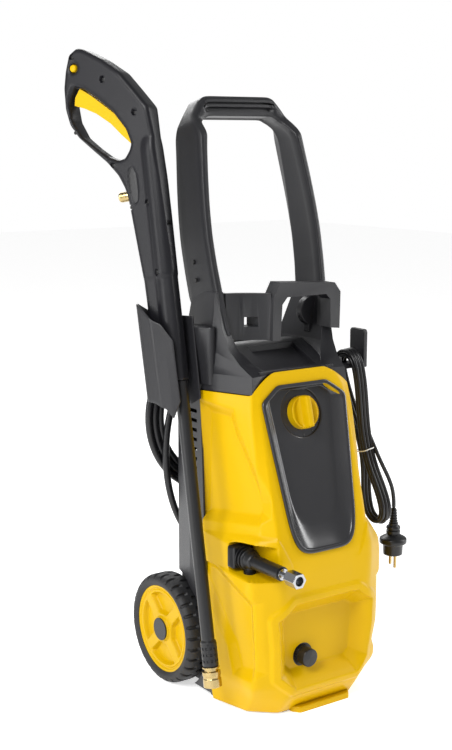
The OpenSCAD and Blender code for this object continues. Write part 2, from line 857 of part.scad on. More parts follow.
module gun_valve() {
    color("gold") on_gun() difference() {
        union() {
            translate([0, 0, 66]) cylinder(r = 7, h = 54);
            translate([0, 0, 119]) cylinder(r = 6.8, h = 221);
            translate([0, 0, 325]) disc_x(6.4, 0, 54.5);
            translate([0, 0, 325]) disc_x(7.2, 54.5, 68);
            box([-8, -13.6, 150], [30, 13.6, 158]);
            box([-10, -13.6, 282], [34, 13.6, 290]);
        }
        translate([0, 0, 60]) cylinder(r = 6.05, h = 48);
        translate([0, 0, 325]) disc_x(5, 40, 80);
    }
}

trigger_outline = [[36, 396], [51, 411], [68, 430], [91, 448], [111, 459], [128, 466], [125.5, 477],
    [115.5, 488.5], [96, 474], [70, 452], [42, 428], [25, 407]];

module gun_trigger() {
    color(yellow) on_gun() difference() {
        union() {
            along_y(-7, 7) polygon(trigger_outline);
            translate([pin_at[0], 0, pin_at[1]]) disc_y(8, -7, 7);
        }
        translate([pin_at[0], 0, pin_at[1]]) disc_y(2.55, -20, 20);
    }
}

module lock_button() {
    color(yellow) on_gun() translate([121, 0, 517]) disc_y(5.5, -15, 19.5);
}

module lance_tube() {
    color(black) on_gun() rotate_extrude() polygon([[0, -349], [9.5, -349], [11.5, -347], [11.5, -342],
        [10.6, -341], [10.6, -339], [11.5, -338], [11.5, -333], [10.6, -332], [10.6, -330], [11.5, -329],
        [11.5, -324], [10.6, -323], [10.6, -321], [11.5, -320], [11.5, -314], [lance_r, -311],
        [lance_r, 57], [6, 57], [6, 104], [0, 104]]);
}

module quick_coupler() {
    color("gold") on_gun() rotate_extrude() polygon([[5.5, -lance_drop], [9.5, -lance_drop], [9.5, -351],
        [12.4, -351], [12.4, -349], [0, -349], [0, -356], [5.5, -356]]);
}

module coupler_sleeve() {
    color("gold") on_gun() rotate_extrude() polygon([[9.56, -377.5], [13.2, -377.5], [13.2, -366],
        [12.4, -365], [12.4, -362], [13.2, -361], [13.2, -355.5], [9.56, -355.5]]);
}

// ---- drawing -------------------------------------------------------------

front_cover();
rear_cover();
base_plate();
control_panel();
top_cover();
handle_frame();
carry_handle();
bottle_seat();
body_screws();
cord_hook();
hose_hook();
gun_holster();
motor_casing();
stator_winding();
motor_bearings();
pump_housing();
pump_head();
pump_pistons();
piston_springs();
inlet_connector();
inlet_pipe();
outlet_pipe();
outlet_boot();
outlet_sleeve();
outlet_stem();
switch_unit();
capacitor();
wheel_axle();
axle_washers();
cord_gland();
power_cord_lead();
power_cord_hank();
power_cord_tail();
cord_tie();
plug_body();
plug_pins();
hose_coil();
hose_loop();
hose_fittings();
tyre_left();
rim_left();
hub_cap_left();
tyre_right();
rim_right();
hub_cap_right();
motor_rotor();
swash_plate();
cooling_fan();
power_knob();
inlet_cap();
outlet_nut();
gun_shell_left();
gun_shell_right();
gun_fixings();
gun_valve();
gun_trigger();
lock_button();
lance_tube();
quick_coupler();
coupler_sleeve();
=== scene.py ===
"""Upright pressure washer: the looks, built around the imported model."""

import json
import math

import bmesh
import bpy
import numpy as np
from mathutils import Matrix, Vector
from mathutils.geometry import delaunay_2d_cdt


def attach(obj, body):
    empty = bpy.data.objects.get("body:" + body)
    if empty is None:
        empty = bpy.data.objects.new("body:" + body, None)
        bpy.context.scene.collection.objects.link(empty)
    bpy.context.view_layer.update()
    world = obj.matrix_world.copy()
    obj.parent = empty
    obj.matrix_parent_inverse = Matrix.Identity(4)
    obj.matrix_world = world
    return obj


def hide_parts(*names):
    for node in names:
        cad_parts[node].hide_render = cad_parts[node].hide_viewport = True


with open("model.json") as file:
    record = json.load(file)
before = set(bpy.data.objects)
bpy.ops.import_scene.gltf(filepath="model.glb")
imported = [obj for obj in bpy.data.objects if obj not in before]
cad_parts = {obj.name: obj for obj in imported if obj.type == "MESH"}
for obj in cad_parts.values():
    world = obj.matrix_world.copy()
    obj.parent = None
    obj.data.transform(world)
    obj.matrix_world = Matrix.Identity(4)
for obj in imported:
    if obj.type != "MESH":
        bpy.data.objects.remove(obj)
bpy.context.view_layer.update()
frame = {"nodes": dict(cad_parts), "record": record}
NODES = frame["nodes"]
MM = 0.001

# ---------------------------------------------------------------- camera and light


def make_camera():
    camera = bpy.data.cameras.new("camera")
    camera.lens = 62.45
    camera.sensor_width = 36
    camera.clip_start = 0.05
    o = bpy.data.objects.new("camera", camera)
    bpy.context.scene.collection.objects.link(o)
    o.location = (-1.1311, -1.4900, 0.8129)
    o.rotation_euler = (math.radians(90 - 10.32), 0, math.radians(-35.09))
    bpy.context.scene.camera = o


def area_light(name, place, target, size, power, tint=(1, 1, 1)):
    light = bpy.data.lights.new(name, "AREA")
    light.shape = "RECTANGLE"
    light.size, light.size_y = size
    light.energy = power
    light.color = tint
    o = bpy.data.objects.new(name, light)
    bpy.context.scene.collection.objects.link(o)
    o.location = place
    o.rotation_euler = (Vector(target) - Vector(place)).to_track_quat("-Z", "Y").to_euler()


BACKDROP_LEVEL = 1.0
SKY_LIGHT_LEVEL = 0.40
FLOOR_GLOW = 0.58


def make_stage():
    """White backdrop, dimmer sky light, four soft lamps and a pale floor that glows a little."""
    bpy.context.scene.view_settings.view_transform = "Standard"
    world = bpy.data.worlds.new("studio")
    bpy.context.scene.world = world
    world.use_nodes = True
    sky = world.node_tree.nodes["Background"]
    sky.inputs["Color"].default_value = (1, 1, 1, 1)
    rays = world.node_tree.nodes.new("ShaderNodeLightPath")
    level = world.node_tree.nodes.new("ShaderNodeMapRange")
    level.inputs["To Min"].default_value = SKY_LIGHT_LEVEL
    level.inputs["To Max"].default_value = BACKDROP_LEVEL
    world.node_tree.links.new(rays.outputs["Is Camera Ray"], level.inputs["Value"])
    world.node_tree.links.new(level.outputs["Result"], sky.inputs["Strength"])
    middle = (0, 0, 0.45)
    area_light("key", (-2.1, -1.0, 2.2), middle, (1.0, 1.4), 70)
    area_light("side", (2.1, -1.0, 1.2), middle, (0.5, 1.8), 32)
    area_light("left", (-2.6, 0.3, 1.0), middle, (0.6, 1.8), 26)
    area_light("back", (0.6, 2.2, 1.9), middle, (1.4, 1.0), 24)
    bpy.ops.mesh.primitive_plane_add(size=14, location=(0, 2.0, 0))
    floor = bpy.context.object
    floor.name = "floor"
    paint = surface("floor_paint", (0.95, 0.95, 0.95), 0.6, grain=0, speckle=0.01, shine=0.1)
    shader = paint.node_tree.nodes["Principled BSDF"]
    shader.inputs["Emission Color"].default_value = (1, 1, 1, 1)
    shader.inputs["Emission Strength"].default_value = FLOOR_GLOW
    floor.data.materials.append(paint)


# ---------------------------------------------------------------- materials


def surface(name, colour, roughness, metal=0.0, grain=0.15, grain_scale=900, speckle=0.06,
            patch_scale=9, spread=0.06, coat=0.0, shine=0.5, stretch=(1, 1, 1), edge_highlight=0.0,
            edge_highlight_colour=(0.3, 0.3, 0.3)):
    """Moulded plastic or metal: slow colour drift, uneven gloss and a fine grain in the surface, and on
    request a painted highlight that lightens sharp edges.
    """
    m = bpy.data.materials.new(name)
    m.use_nodes = True
    tree = m.node_tree
    node = tree.nodes
    link = tree.links.new
    shader = node["Principled BSDF"]
    shader.inputs["Metallic"].default_value = metal
    shader.inputs["Specular IOR Level"].default_value = shine
    shader.inputs["Coat Weight"].default_value = coat
    shader.inputs["Coat Roughness"].default_value = 0.08
    where = node.new("ShaderNodeTexCoord")
    place = node.new("ShaderNodeMapping")
    place.inputs["Scale"].default_value = stretch
    link(where.outputs["Object"], place.inputs["Vector"])
    patches = node.new("ShaderNodeTexNoise")
    patches.inputs["Scale"].default_value = patch_scale
    patches.inputs["Detail"].default_value = 5
    link(place.outputs["Vector"], patches.inputs["Vector"])
    tint = node.new("ShaderNodeMix")
    tint.data_type = "RGBA"
    low = [c * (1 - speckle) for c in colour]
    high = [min(1, c * (1 + speckle)) for c in colour]
    tint.inputs["A"].default_value = (*low, 1)
    tint.inputs["B"].default_value = (*high, 1)
    link(patches.outputs["Fac"], tint.inputs["Factor"])
    paint = tint.outputs["Result"]
    # Painted highlight: sharp convex edges, picked out by Pointiness, are lightened towards a light grey.
    if edge_highlight:
        edge = node.new("ShaderNodeNewGeometry")
        highlight_amount = node.new("ShaderNodeMapRange")
        highlight_amount.inputs["From Min"].default_value = 0.52
        highlight_amount.inputs["From Max"].default_value = 0.62
        highlight_amount.inputs["To Max"].default_value = edge_highlight
        link(edge.outputs["Pointiness"], highlight_amount.inputs["Value"])
        highlighted = node.new("ShaderNodeMix")
        highlighted.data_type = "RGBA"
        highlighted.inputs["B"].default_value = (*edge_highlight_colour, 1)
        link(highlight_amount.outputs["Result"], highlighted.inputs["Factor"])
        link(paint, highlighted.inputs["A"])
        paint = highlighted.outputs["Result"]
    link(paint, shader.inputs["Base Color"])
    fine = node.new("ShaderNodeTexNoise")
    fine.inputs["Scale"].default_value = grain_scale
    fine.inputs["Detail"].default_value = 3
    link(place.outputs["Vector"], fine.inputs["Vector"])
    gloss = node.new("ShaderNodeMapRange")
    gloss.inputs["To Min"].default_value = max(0.02, roughness - spread)
    gloss.inputs["To Max"].default_value = min(1, roughness + spread)
    link(patches.outputs["Fac"], gloss.inputs["Value"])
    link(gloss.outputs["Result"], shader.inputs["Roughness"])
    if grain:
        bump = node.new("ShaderNodeBump")
        bump.inputs["Strength"].default_value = grain
        bump.inputs["Distance"].default_value = 0.0006
        link(fine.outputs["Fac"], bump.inputs["Height"])
        link(bump.outputs["Normal"], shader.inputs["Normal"])
    return m


YELLOW = surface("yellow_shell", (0.57, 0.345, 0.0), 0.33, grain=0.05, speckle=0.03, coat=0.02, shine=0.12)
YELLOW_TRIM = surface("yellow_trim", (0.54, 0.33, 0.0), 0.38, grain=0.08, speckle=0.04, shine=0.14)
# dark_shell, gun_plastic and lance_black get a faint painted highlight on their sharp edges.
DARK = surface("dark_shell", (0.010, 0.010, 0.012), 0.38, grain=0.35, speckle=0.2, edge_highlight=0.05, shine=0.42)
GUN = surface("gun_plastic", (0.008, 0.008, 0.010), 0.36, grain=0.25, speckle=0.2, edge_highlight=0.05, shine=0.24)
PANEL = surface("panel_gloss", (0.020, 0.020, 0.022), 0.22, grain=0.06, speckle=0.15, coat=0.10, shine=0.5)
TYRE = surface("tyre_black", (0.009, 0.009, 0.010), 0.6, grain=0.5, grain_scale=500, speckle=0.3)
STEEL = surface("steel", (0.55, 0.55, 0.56), 0.34, metal=1, grain=0.08, stretch=(1, 1, 0.1))
CHROME = surface("chrome_metal", (0.42, 0.43, 0.45), 0.16, metal=1, grain=0.02, speckle=0.03)
BRASS = surface("brass_metal", (0.46, 0.35, 0.16), 0.24, metal=1, grain=0.06, speckle=0.08)
ALLOY = surface("cast_alloy", (0.60, 0.61, 0.62), 0.5, metal=1, grain=0.5, grain_scale=350)
COPPER = surface("copper_winding", (0.60, 0.25, 0.10), 0.35, metal=0.8, grain=0.5, grain_scale=260,
                 stretch=(1, 1, 0.2))
RUBBER = surface("cord_rubber", (0.006, 0.006, 0.007), 0.34, grain=0.15, grain_scale=300, speckle=0.2,
                 shine=0.4)
LANCE = surface("lance_black", (0.0075, 0.0075, 0.0085), 0.34, grain=0.12, speckle=0.2, edge_highlight=0.05,
                shine=0.4)
GREY = surface("grey_fitting", (0.02, 0.02, 0.02), 0.5, grain=0.3)
WHITE = surface("white_tie", (0.8, 0.8, 0.78), 0.5, grain=0.2, speckle=0.04)

MATERIAL_OF_SLOT = {
    "yellow_shell": YELLOW, "yellow_trim": YELLOW_TRIM, "dark_shell": DARK, "gun_plastic": GUN,
    "panel_gloss": PANEL, "tyre_black": TYRE, "steel": STEEL, "chrome_metal": CHROME,
    "brass_metal": BRASS, "cast_alloy": ALLOY, "copper_winding": COPPER, "cord_rubber": RUBBER,
    "lance_black": LANCE, "grey_fitting": GREY, "white_tie": WHITE}

# ---------------------------------------------------------------- mesh helpers


def dress(o, slot, body, replaced=(), sharp=35):
    """Give a piece its material, smooth shading and body, and hide the CAD nodes that it stands for."""
    o.data.materials.clear()
    o.data.materials.append(MATERIAL_OF_SLOT[slot])
    if o.type == "MESH":
        o.data.polygons.foreach_set("use_smooth", [True] * len(o.data.polygons))
        o.data.set_sharp_from_angle(angle=math.radians(sharp))
    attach(o, body)
    if replaced:
        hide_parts(*replaced)
    return o


def new_object(name, vertices, faces, place=None):
    """A mesh object from points in millimetres, moved by an optional matrix in millimetres."""
    points = np.asarray(vertices, float)
    if place is not None:
        m = np.array(place)
        points = points @ m[:3, :3].T + m[:3, 3]
    mesh = bpy.data.meshes.new(name)
    mesh.from_pydata((points * MM).tolist(), [], faces)
    mesh.validate()
    mesh.update()
    o = bpy.data.objects.new(name, mesh)
    bpy.context.scene.collection.objects.link(o)
    return o


def grid_faces(rows, cols, wrap=False, start=0):
    """Quads of a grid of points stored row by row; wrap joins the last column to the first."""
    faces = []
    for i in range(rows - 1):
        for j in range(cols if wrap else cols - 1):
            k = (j + 1) % cols
            faces.append((start + i * cols + j, start + i * cols + k,
                          start + (i + 1) * cols + k, start + (i + 1) * cols + j))
    return faces


def refined(node, body, width, angle=28, sharp=32, segments=3):
    """The CAD node's shape as clean flat faces with moulded, rounded edges."""
    mesh = NODES[node].data.copy()
    mesh.name = node + "_moulded"
    o = bpy.data.objects.new(node + "_moulded", mesh)
    bpy.context.scene.collection.objects.link(o)
    work = bmesh.new()
    work.from_mesh(mesh)
    bmesh.ops.remove_doubles(work, verts=work.verts, dist=0.00002)
    bmesh.ops.dissolve_limit(work, angle_limit=math.radians(1.2), verts=work.verts, edges=work.edges)
    work.to_mesh(mesh)
    work.free()
    dress(o, SLOT_OF[node], body, (node,), sharp=sharp)
    bevel = o.modifiers.new("bevel", "BEVEL")
    bevel.width = width * MM
    bevel.segments = segments
    bevel.limit_method = "ANGLE"
    bevel.angle_limit = math.radians(angle)
    bevel.harden_normals = True
    return o


def fade(x, low, high):
    """0 below low, 1 above high and smooth between."""
    t = np.clip((np.asarray(x, float) - low) / (high - low), 0, 1)
    return t * t * (3 - 2 * t)


def ramp(x, low, high, soft=0.12):
    """0 below low, 1 above high and straight between, with slightly rounded bends."""
    t = (np.asarray(x, float) - low) / (high - low)
    return (np.hypot(t, soft) - np.hypot(t - 1, soft) + 1) / 2


def blur(a, sigma, axis, closed=False):
    """Smooth an array of points along one axis, keeping its ends in place."""
    n = int(3 * sigma + 1)
    k = np.exp(-0.5 * (np.arange(-n, n + 1) / sigma) ** 2)
    k /= k.sum()
    a = np.moveaxis(a, axis, 0)
    if closed:
        padded = np.concatenate([a[-n:], a, a[:n]])
    else:
        low = 2 * a[:1] - a[n:0:-1]
        high = 2 * a[-1:] - a[-2:-n - 2:-1]
        padded = np.concatenate([low, a, high])
    out = sum(k[i] * padded[i:i + len(a)] for i in range(2 * n + 1))
    return np.moveaxis(out, 0, axis)


def signed_distance(px, py, outline):
    """Distance to a closed outline, positive inside it."""
    px, py = np.asarray(px, float), np.asarray(py, float)
    best = np.full(px.shape, 1e9)
    inside = np.zeros(px.shape, bool)
    for (x1, y1), (x2, y2) in zip(outline, outline[1:] + outline[:1]):
        dx, dy = x2 - x1, y2 - y1
        t = np.clip(((px - x1) * dx + (py - y1) * dy) / (dx * dx + dy * dy), 0, 1)
        best = np.minimum(best, np.hypot(px - x1 - t * dx, py - y1 - t * dy))
        if y1 != y2:
            crosses = (y1 > py) != (y2 > py)
            inside ^= crosses & (px < (x2 - x1) * (py - y1) / (y2 - y1) + x1)
    return np.where(inside, best, -best)


def mirrored(outline):
    """A half outline from bottom to top, x positive, made whole."""
    return outline + [(-x, y) for x, y in reversed(outline)]


def revolve(name, profile, place, count=64, lobes=0, lobe_depth=0.0, lobe_range=(0, 0)):
    """Turn a profile of (radius, height) round the local z axis, with optional lengthwise ribs."""
    a = np.linspace(0, 2 * math.pi, count, endpoint=False)
    rows = []
    for r, h in profile:
        radius = np.full(count, float(r))
        if lobes and lobe_range[0] <= h <= lobe_range[1]:
            radius -= lobe_depth * (np.cos(lobes * a) < -0.1)
        rows.append(np.stack([radius * np.cos(a), radius * np.sin(a), np.full(count, float(h))], 1))
    return new_object(name, np.concatenate(rows), grid_faces(len(profile), count, True), place)


def turn(axis, degrees):
    return Matrix.Rotation(math.radians(degrees), 4, axis)


def move(x, y, z):
    return Matrix.Translation((x, y, z))


PANEL_LEAN = 15
ON_PANEL = move(0, -128, 240) @ turn("X", 90 - PANEL_LEAN)
ON_HANDLE = move(0, 0.5, 600) @ turn("X", -13.2)
ON_GUN = move(-150, 7, 421) @ turn("X", -10.43) @ turn("Z", 113.85)
ON_HANK = move(144.6, 0, 470) @ turn("Y", -4.6) @ turn("X", -12.9)
KNOB_S = 197.7
SLOT_OF = {row["node"]: row["material_slot"] for row in frame["record"]["subparts"]}
BODY_OF = {node: body for body, nodes in frame["record"]["behaviour"]["bodies"].items() for node in nodes}

# ---------------------------------------------------------------- cords

CORD_D = 6.2
HOSE_D = 10.5


def smooth_route(points, steps):
    """The same smooth line through route points as the part's own."""
    p = [np.array(q, float) for q in points]
    out = []
    for i in range(len(p) - 1):
        a, b, c, d = p[max(i - 1, 0)], p[i], p[i + 1], p[min(i + 2, len(p) - 1)]
        for k in range(steps):
            t = k / steps
            out.append(((-t + 2 * t * t - t ** 3) * a + (2 - 5 * t * t + 3 * t ** 3) * b
                        + (t + 4 * t * t - 3 * t ** 3) * c + (t ** 3 - t * t) * d) / 2)
    out.append(p[-1])
    return out


def even_line(points, step):
    """The line through points, resampled at an even step."""
    p = np.array(points, float)
    s = np.concatenate([[0], np.cumsum(np.linalg.norm(np.diff(p, axis=0), axis=1))])
    t = np.linspace(0, s[-1], max(2, int(s[-1] / step)))
    return np.stack([np.interp(t, s, p[:, i]) for i in range(3)], 1)


def tube(name, line, radius, sides=14):
    """A round tube mesh along a line, with closed, slightly rounded ends."""
    line = np.asarray(line, float)
    ahead = np.gradient(line, axis=0)
    ahead /= np.linalg.norm(ahead, axis=1, keepdims=True)
    side = np.cross(ahead[0], (0.3, 0.2, 1.0))
    a = np.linspace(0, 2 * math.pi, sides, endpoint=False)
    rows = []
    count = len(line)
    for k in range(count):
        side = side - ahead[k] * (side @ ahead[k])
        side /= np.linalg.norm(side)
        other = np.cross(ahead[k], side)
        r = radius * (0.75 if k in (0, count - 1) else 1)
        rows.append(line[k] + r * (np.cos(a)[:, None] * side + np.sin(a)[:, None] * other))
    faces = grid_faces(count, sides, True)
    faces += [tuple(range(sides))[::-1], tuple(range((count - 1) * sides, count * sides))]
    return new_object(name, np.concatenate(rows), faces)


def length_of(points):
    return float(np.linalg.norm(np.diff(np.array(points), axis=0), axis=1).sum()) * MM


LEAD_ROUTE = [(135, 86, 250), (146, 86, 247), (157, 86, 236), (160, 84, 220), (160, 72, 204),
              (160, 58, 203), (160, 44, 218), (158, 40, 250), (154, 38, 320), (147, 34, 400), (141, 30, 450)]
TAIL_ROUTE = [(168, -48, 332), (177, -54, 310), (186, -57, 288), (191, -56.5, 268), (192, -56, 252)]
TIE_Z = -128
TOP_FOLD_Z = 2
BOTTOM_FOLD_Z = -219
WIDE, NARROW = 24.8, 18.6
HANK_SLOTS = [(-6.2, WIDE), (-6.2, NARROW), (0, NARROW), (0, WIDE), (6.2, WIDE), (6.2, NARROW)]


def leg_width(radius, z):
    """How far a leg of the hank stands from its middle at height z."""
    waist = 9.3 if radius == WIDE else 3.1
    if z >= TIE_Z:
        t = fade(z, TIE_Z + 6, TOP_FOLD_Z - 6)
    else:
        t = fade(-z, -TIE_Z + 6, -BOTTOM_FOLD_Z - 4)
    return waist + (radius - waist) * float(t)


def hank_points():
    points = []
    legs_z = np.linspace(TOP_FOLD_Z, BOTTOM_FOLD_Z, 15)
    for i, (x, r) in enumerate(HANK_SLOTS):
        for a in np.linspace(0, math.pi, 13):
            points.append((x, r * math.cos(a), TOP_FOLD_Z + r * math.sin(a)))
        last = i == len(HANK_SLOTS) - 1
        for z in legs_z[1:7] if last else legs_z[1:]:
            points.append((x, -leg_width(r, z), z))
        if last:
            break
        x2, r2 = HANK_SLOTS[i + 1]
        for a in np.linspace(0, math.pi, 13)[1:]:
            t = float(fade(a, 0, math.pi))
            q = r + (r2 - r) * t
            points.append((x + (x2 - x) * t, -q * math.cos(a), BOTTOM_FOLD_Z - q * math.sin(a)))
        for z in legs_z[::-1][1:-1]:
            points.append((x2, leg_width(r2, z), z))
    return [tuple(ON_HANK @ Vector(p)) for p in points]


def make_power_cord():
    hank = hank_points()
    points = smooth_route(LEAD_ROUTE, 4)[:-1]
    points += smooth_route([LEAD_ROUTE[-2], LEAD_ROUTE[-1], hank[0], hank[1]], 4)[4:-4]
    points += hank + smooth_route([hank[-1]] + TAIL_ROUTE, 4)[1:]
    line = even_line(points, 4)
    line = blur(line, 1.6, 0)
    o = tube("power_cord", line, CORD_D / 2)
    dress(o, "cord_rubber", "chassis", ("power_cord_lead", "power_cord_hank", "power_cord_tail"))
    ring = []
    for a in np.linspace(0, 2 * math.pi, 65):
        x, y = math.cos(a), math.sin(a)
        ring.append(tuple(ON_HANK @ Vector((10.6 * math.copysign(abs(x) ** 0.5, x),
                                             13.9 * math.copysign(abs(y) ** 0.5, y), TIE_Z + 1.5 * x))))
    tie = tube("tie_thread", ring, 0.9, 10)
    dress(tie, "white_tie", "chassis", ("cord_tie",))


HOOK_X, COIL_Z = -18, 402
COIL_TURNS = [(101.2, 121.3), (101.2, 131.7), (111.6, 131.7), (111.6, 121.3), (122, 121.3), (122, 131.7)]


def make_hose():
    points = [(-19 + 98 * math.cos(a), 110.2 + 3.4 * max(0, 1 - (-math.degrees(a) - 32) / 46),
               346 + 157.5 * math.sin(a)) for a in np.radians(np.arange(-32, -272, -8.0))]
    start = 84
    r0, y0 = 99.8, 110.2
    for i, (r, y) in enumerate(COIL_TURNS):
        for k in range(40):
            a = math.radians(start - 9 * k)
            t = float(fade(k, 0, 6 if i else 9))
            rr, yy = r0 + (r - r0) * t, y0 + (y - y0) * t
            points.append((HOOK_X + rr * math.cos(a), yy, COIL_Z + rr * math.sin(a)))
            if i == len(COIL_TURNS) - 1 and start - 9 * k <= 3:
                break
        r0, y0 = r, y
    for z in (392, 380, 365, 350, 340):
        points.append((HOOK_X + 122, 131.6, z))
    line = blur(even_line(points, 5), 1.6, 0)
    o = tube("pressure_hose", line, HOSE_D / 2, 18)
    dress(o, "cord_rubber", "chassis", ("hose_coil", "hose_loop"))
    print("hose length", length_of(line))


PLUG_XY = (192, -56)


def make_plug():
    """Round two-pin plug with a ribbed, tapered strain relief."""
    profile = [(0, 179), (13.5, 179), (14.6, 179.6), (15, 181), (15.4, 194), (16.2, 196), (19.6, 197.2),
               (21, 198.4), (21, 204), (20, 205.6), (17, 207.5), (13, 209.5), (10.2, 211.5), (10.8, 213.4),
               (11, 215), (10.7, 217.6), (9, 218.6), (9, 219.4), (10.8, 220.4), (11, 222.6), (10.2, 224.4),
               (8, 225.6), (7.4, 227), (7.4, 229.4)]
    for k in range(5):
        z = 230 + 4.1 * k
        r = 6.4 - 0.35 * k
        profile += [(r - 1.2, z), (r - 1.2, z + 0.9), (r, z + 1.5), (r, z + 3.2), (r - 0.5, z + 3.7)]
    profile += [(4.4, 251), (4.0, 252), (3.0, 252)]
    o = revolve("plug", profile, move(*PLUG_XY, 0), 64)
    return dress(o, "cord_rubber", "chassis", ("plug_body",), sharp=50)


make_camera()
make_stage()
plug = make_plug()
make_power_cord()
make_hose()

# ---------------------------------------------------------------- front cover

# Front cover at each height: front face, its half width, corner and seam
FRONT_LEVELS = np.array([
    [3, -104, 66, 99, -74, -9], [30, -124, 64, 105, -94, -5], [50, -132, 62, 113, -106, -2],
    [110, -131, 76, 115, -110, 1], [170, -128, 78, 117, -108, 4], [215, -129, 80, 118, -106, 6],
    [234, -128, 80, 116, -105, 6.5], [270, -120, 80, 94, -96, 8], [320, -106.6, 80, 94, -90, 10],
    [380, -90.5, 79, 92, -81, 12], [430, -77, 78, 91, -71, 14], [462, -68.5, 74, 87, -65, 16],
    [490, -61, 56, 78, -59, 17]])
OCTAGON = mirrored([(56, 48), (77, 66), (83, 151), (57, 170)])
# Shallow pocket high on each side, in depth and height
UPPER_POCKET = [(16, 448), (-40, 440), (-54, 408), (-108, 318), (-107, 294), (-92, 282), (16, 272)]
# Tall pocket low on each side
LOWER_POCKET = [(20, 226), (-30, 216), (-74, 197), (-115, 180), (-117, 74), (-104, 60), (-62, 58), (-50, 100),
                (20, 190)]
PANEL_HOLE = mirrored([(38, 4), (50, 16), (57, 63), (66, 160), (70, 213), (41, 235)])


def seam_x(z):
    return np.where(z < 50, 114 + (z - 8) / 9, np.where(z < 170, 119, 120))


def front_cover_grid():
    """Points of the cover, row by row from the base up, and across from the left seam to the right."""
    across = np.concatenate([np.linspace(0, 1, 62), np.linspace(1, 2, 34)[1:], np.linspace(2, 3, 86)[1:]])
    across = np.concatenate([-across[:0:-1], across])
    t = np.abs(across)
    side = np.sign(across)
    top_x = np.interp(t, [0, 1, 2, 3], [0, 56, 87, 120])
    top = np.interp(top_x, [0, 46, 88, 130], [490, 490, 461, 461])
    heights = 3 + np.linspace(0, 1, 360)[:, None] * (top - 3)[None, :]
    level = [np.interp(heights, FRONT_LEVELS[:, 0], FRONT_LEVELS[:, k]) for k in range(1, 6)]
    yf, xb, xc, yc, yd = level
    xd = seam_x(heights)
    t = np.broadcast_to(t, heights.shape)
    x = np.where(t < 1, t * xb, np.where(t < 2, xb + (t - 1) * (xc - xb), xc + (t - 2) * (xd - xc)))
    y = np.where(t < 1, yf, np.where(t < 2, yf + (t - 1) * (yc - yf), yc + (t - 2) * (yd - yc)))
    p = np.stack([x * side, y, heights], 2)
    ends = p[:, [0, -1]].copy()
    p = blur(blur(p, 3.2, 1), 3.0, 0)
    p[:, [0, -1]] = ends
    return p, t


def grid_normals(p):
    du = np.gradient(p, axis=1)
    dv = np.gradient(p, axis=0)
    n = np.cross(du, dv)
    return n / np.maximum(np.linalg.norm(n, axis=2, keepdims=True), 1e-9)


def make_front_cover():
    p, t = front_cover_grid()
    n = grid_normals(p)
    x, y, z = p[..., 0].copy(), p[..., 1].copy(), p[..., 2].copy()
    on_side = fade(t, 1.02, 1.3)
    push = -11.0 * ramp(signed_distance(y, z, UPPER_POCKET), 0, 14) * on_side
    low = signed_distance(y, z, LOWER_POCKET)
    push += -9.5 * ramp(low, 0, 15) * on_side
    edge = np.interp(np.abs(x), [60, 80, 100, 120], [228, 270, 268, 258])
    push += 2.2 * (1 - ramp(z, edge - 6, edge, 0.05)) * fade(z, 60, 150) * fade(t, 0.55, 0.95)
    rim = signed_distance(x, z, OCTAGON)
    push += 3.0 * ramp(rim, -15, -10) * (1 - fade(rim, -1, 1)) * (t < 1.6)
    p = p + n * push[..., None]
    p[..., 0] = np.clip(p[..., 0], -120, 120)
    well = ramp(rim, 0, 19, 0.05) * (t < 1.6)
    p[..., 1] += well * (-108 - p[..., 1])
    s = (z - 240) / math.cos(math.radians(PANEL_LEAN))
    hole = signed_distance(x, s, PANEL_HOLE)
    p[..., 1] += 19 * fade(hole, 0, 4) * (t < 1.2)
    p = outlet_notch(p, x, z, t)
    rows, cols = p.shape[:2]
    o = new_object("front_shell", p.reshape(-1, 3), grid_faces(rows, cols))
    thick = o.modifiers.new("thickness", "SOLIDIFY")
    thick.thickness = 0.0026
    thick.offset = -1
    return dress(o, "yellow_shell", "chassis", ("front_cover",), sharp=60)


def outlet_notch(p, x, z, t):
    """The deep scoop at the front left corner that the outlet comes out of."""
    height = fade(z, 209, 214) * (1 - fade(z, 250, 257))
    left = x < 0
    deep = p.copy()
    k = np.clip(t, 0, 3)
    inner_x, back_y = -83.0, -52.5
    wall = np.clip((k - 1.0) / 0.9, 0, 1)
    floor = np.clip((k - 1.9) / 0.5, 0, 1)
    past_wall = np.where(k < 1.9, inner_x, inner_x + floor * (-117 - inner_x))
    deep[..., 0] = np.where(k < 1.0, p[..., 0], past_wall)
    deep[..., 1] = np.where(k < 1.0, p[..., 1], np.where(k < 1.9, -126 + wall * (back_y + 126), back_y))
    beyond = k > 2.4
    g = np.clip((k - 2.4) / 0.6, 0, 1)
    deep[..., 0] = np.where(beyond, -117 - g * 3, deep[..., 0])
    deep[..., 1] = np.where(beyond, back_y + g * (p[..., -1:, 1] * 0 + 6 - back_y), deep[..., 1])
    w = (height * left * fade(t, 0.97, 1.03))[..., None]
    return p * (1 - w) + deep * w


# ---------------------------------------------------------------- control panel and knob

PANEL_EDGE = [(38, 0), (47, 4), (53, 12), (57.5, 31), (60.7, 63), (64.8, 104), (68.9, 145), (72.6, 187),
              (74.8, 213), (75, 218), (44, 240)]


def ray_lengths(outline, angles, inset, centre, bottom_factor=1.0):
    """How far rays from centre run before they meet a convex outline moved inwards by inset."""
    best = np.full(len(angles), 1e9)
    d = np.stack([np.cos(angles), np.sin(angles)], 1)
    count = len(outline)
    for i in range(count):
        a, b = np.array(outline[i], float), np.array(outline[(i + 1) % count], float)
        e = (b - a) / np.linalg.norm(b - a)
        normal = np.array([e[1], -e[0]])
        share = bottom_factor if normal[1] < -0.5 else 1 - 0.62 * fade(normal[1], 0.1, 0.8) * (inset > 6)
        facing = d @ normal
        gap = (a - centre) @ normal - inset * share
        best = np.minimum(best, np.where(facing > 1e-3, gap / np.maximum(facing, 1e-3), 1e9))
    return best


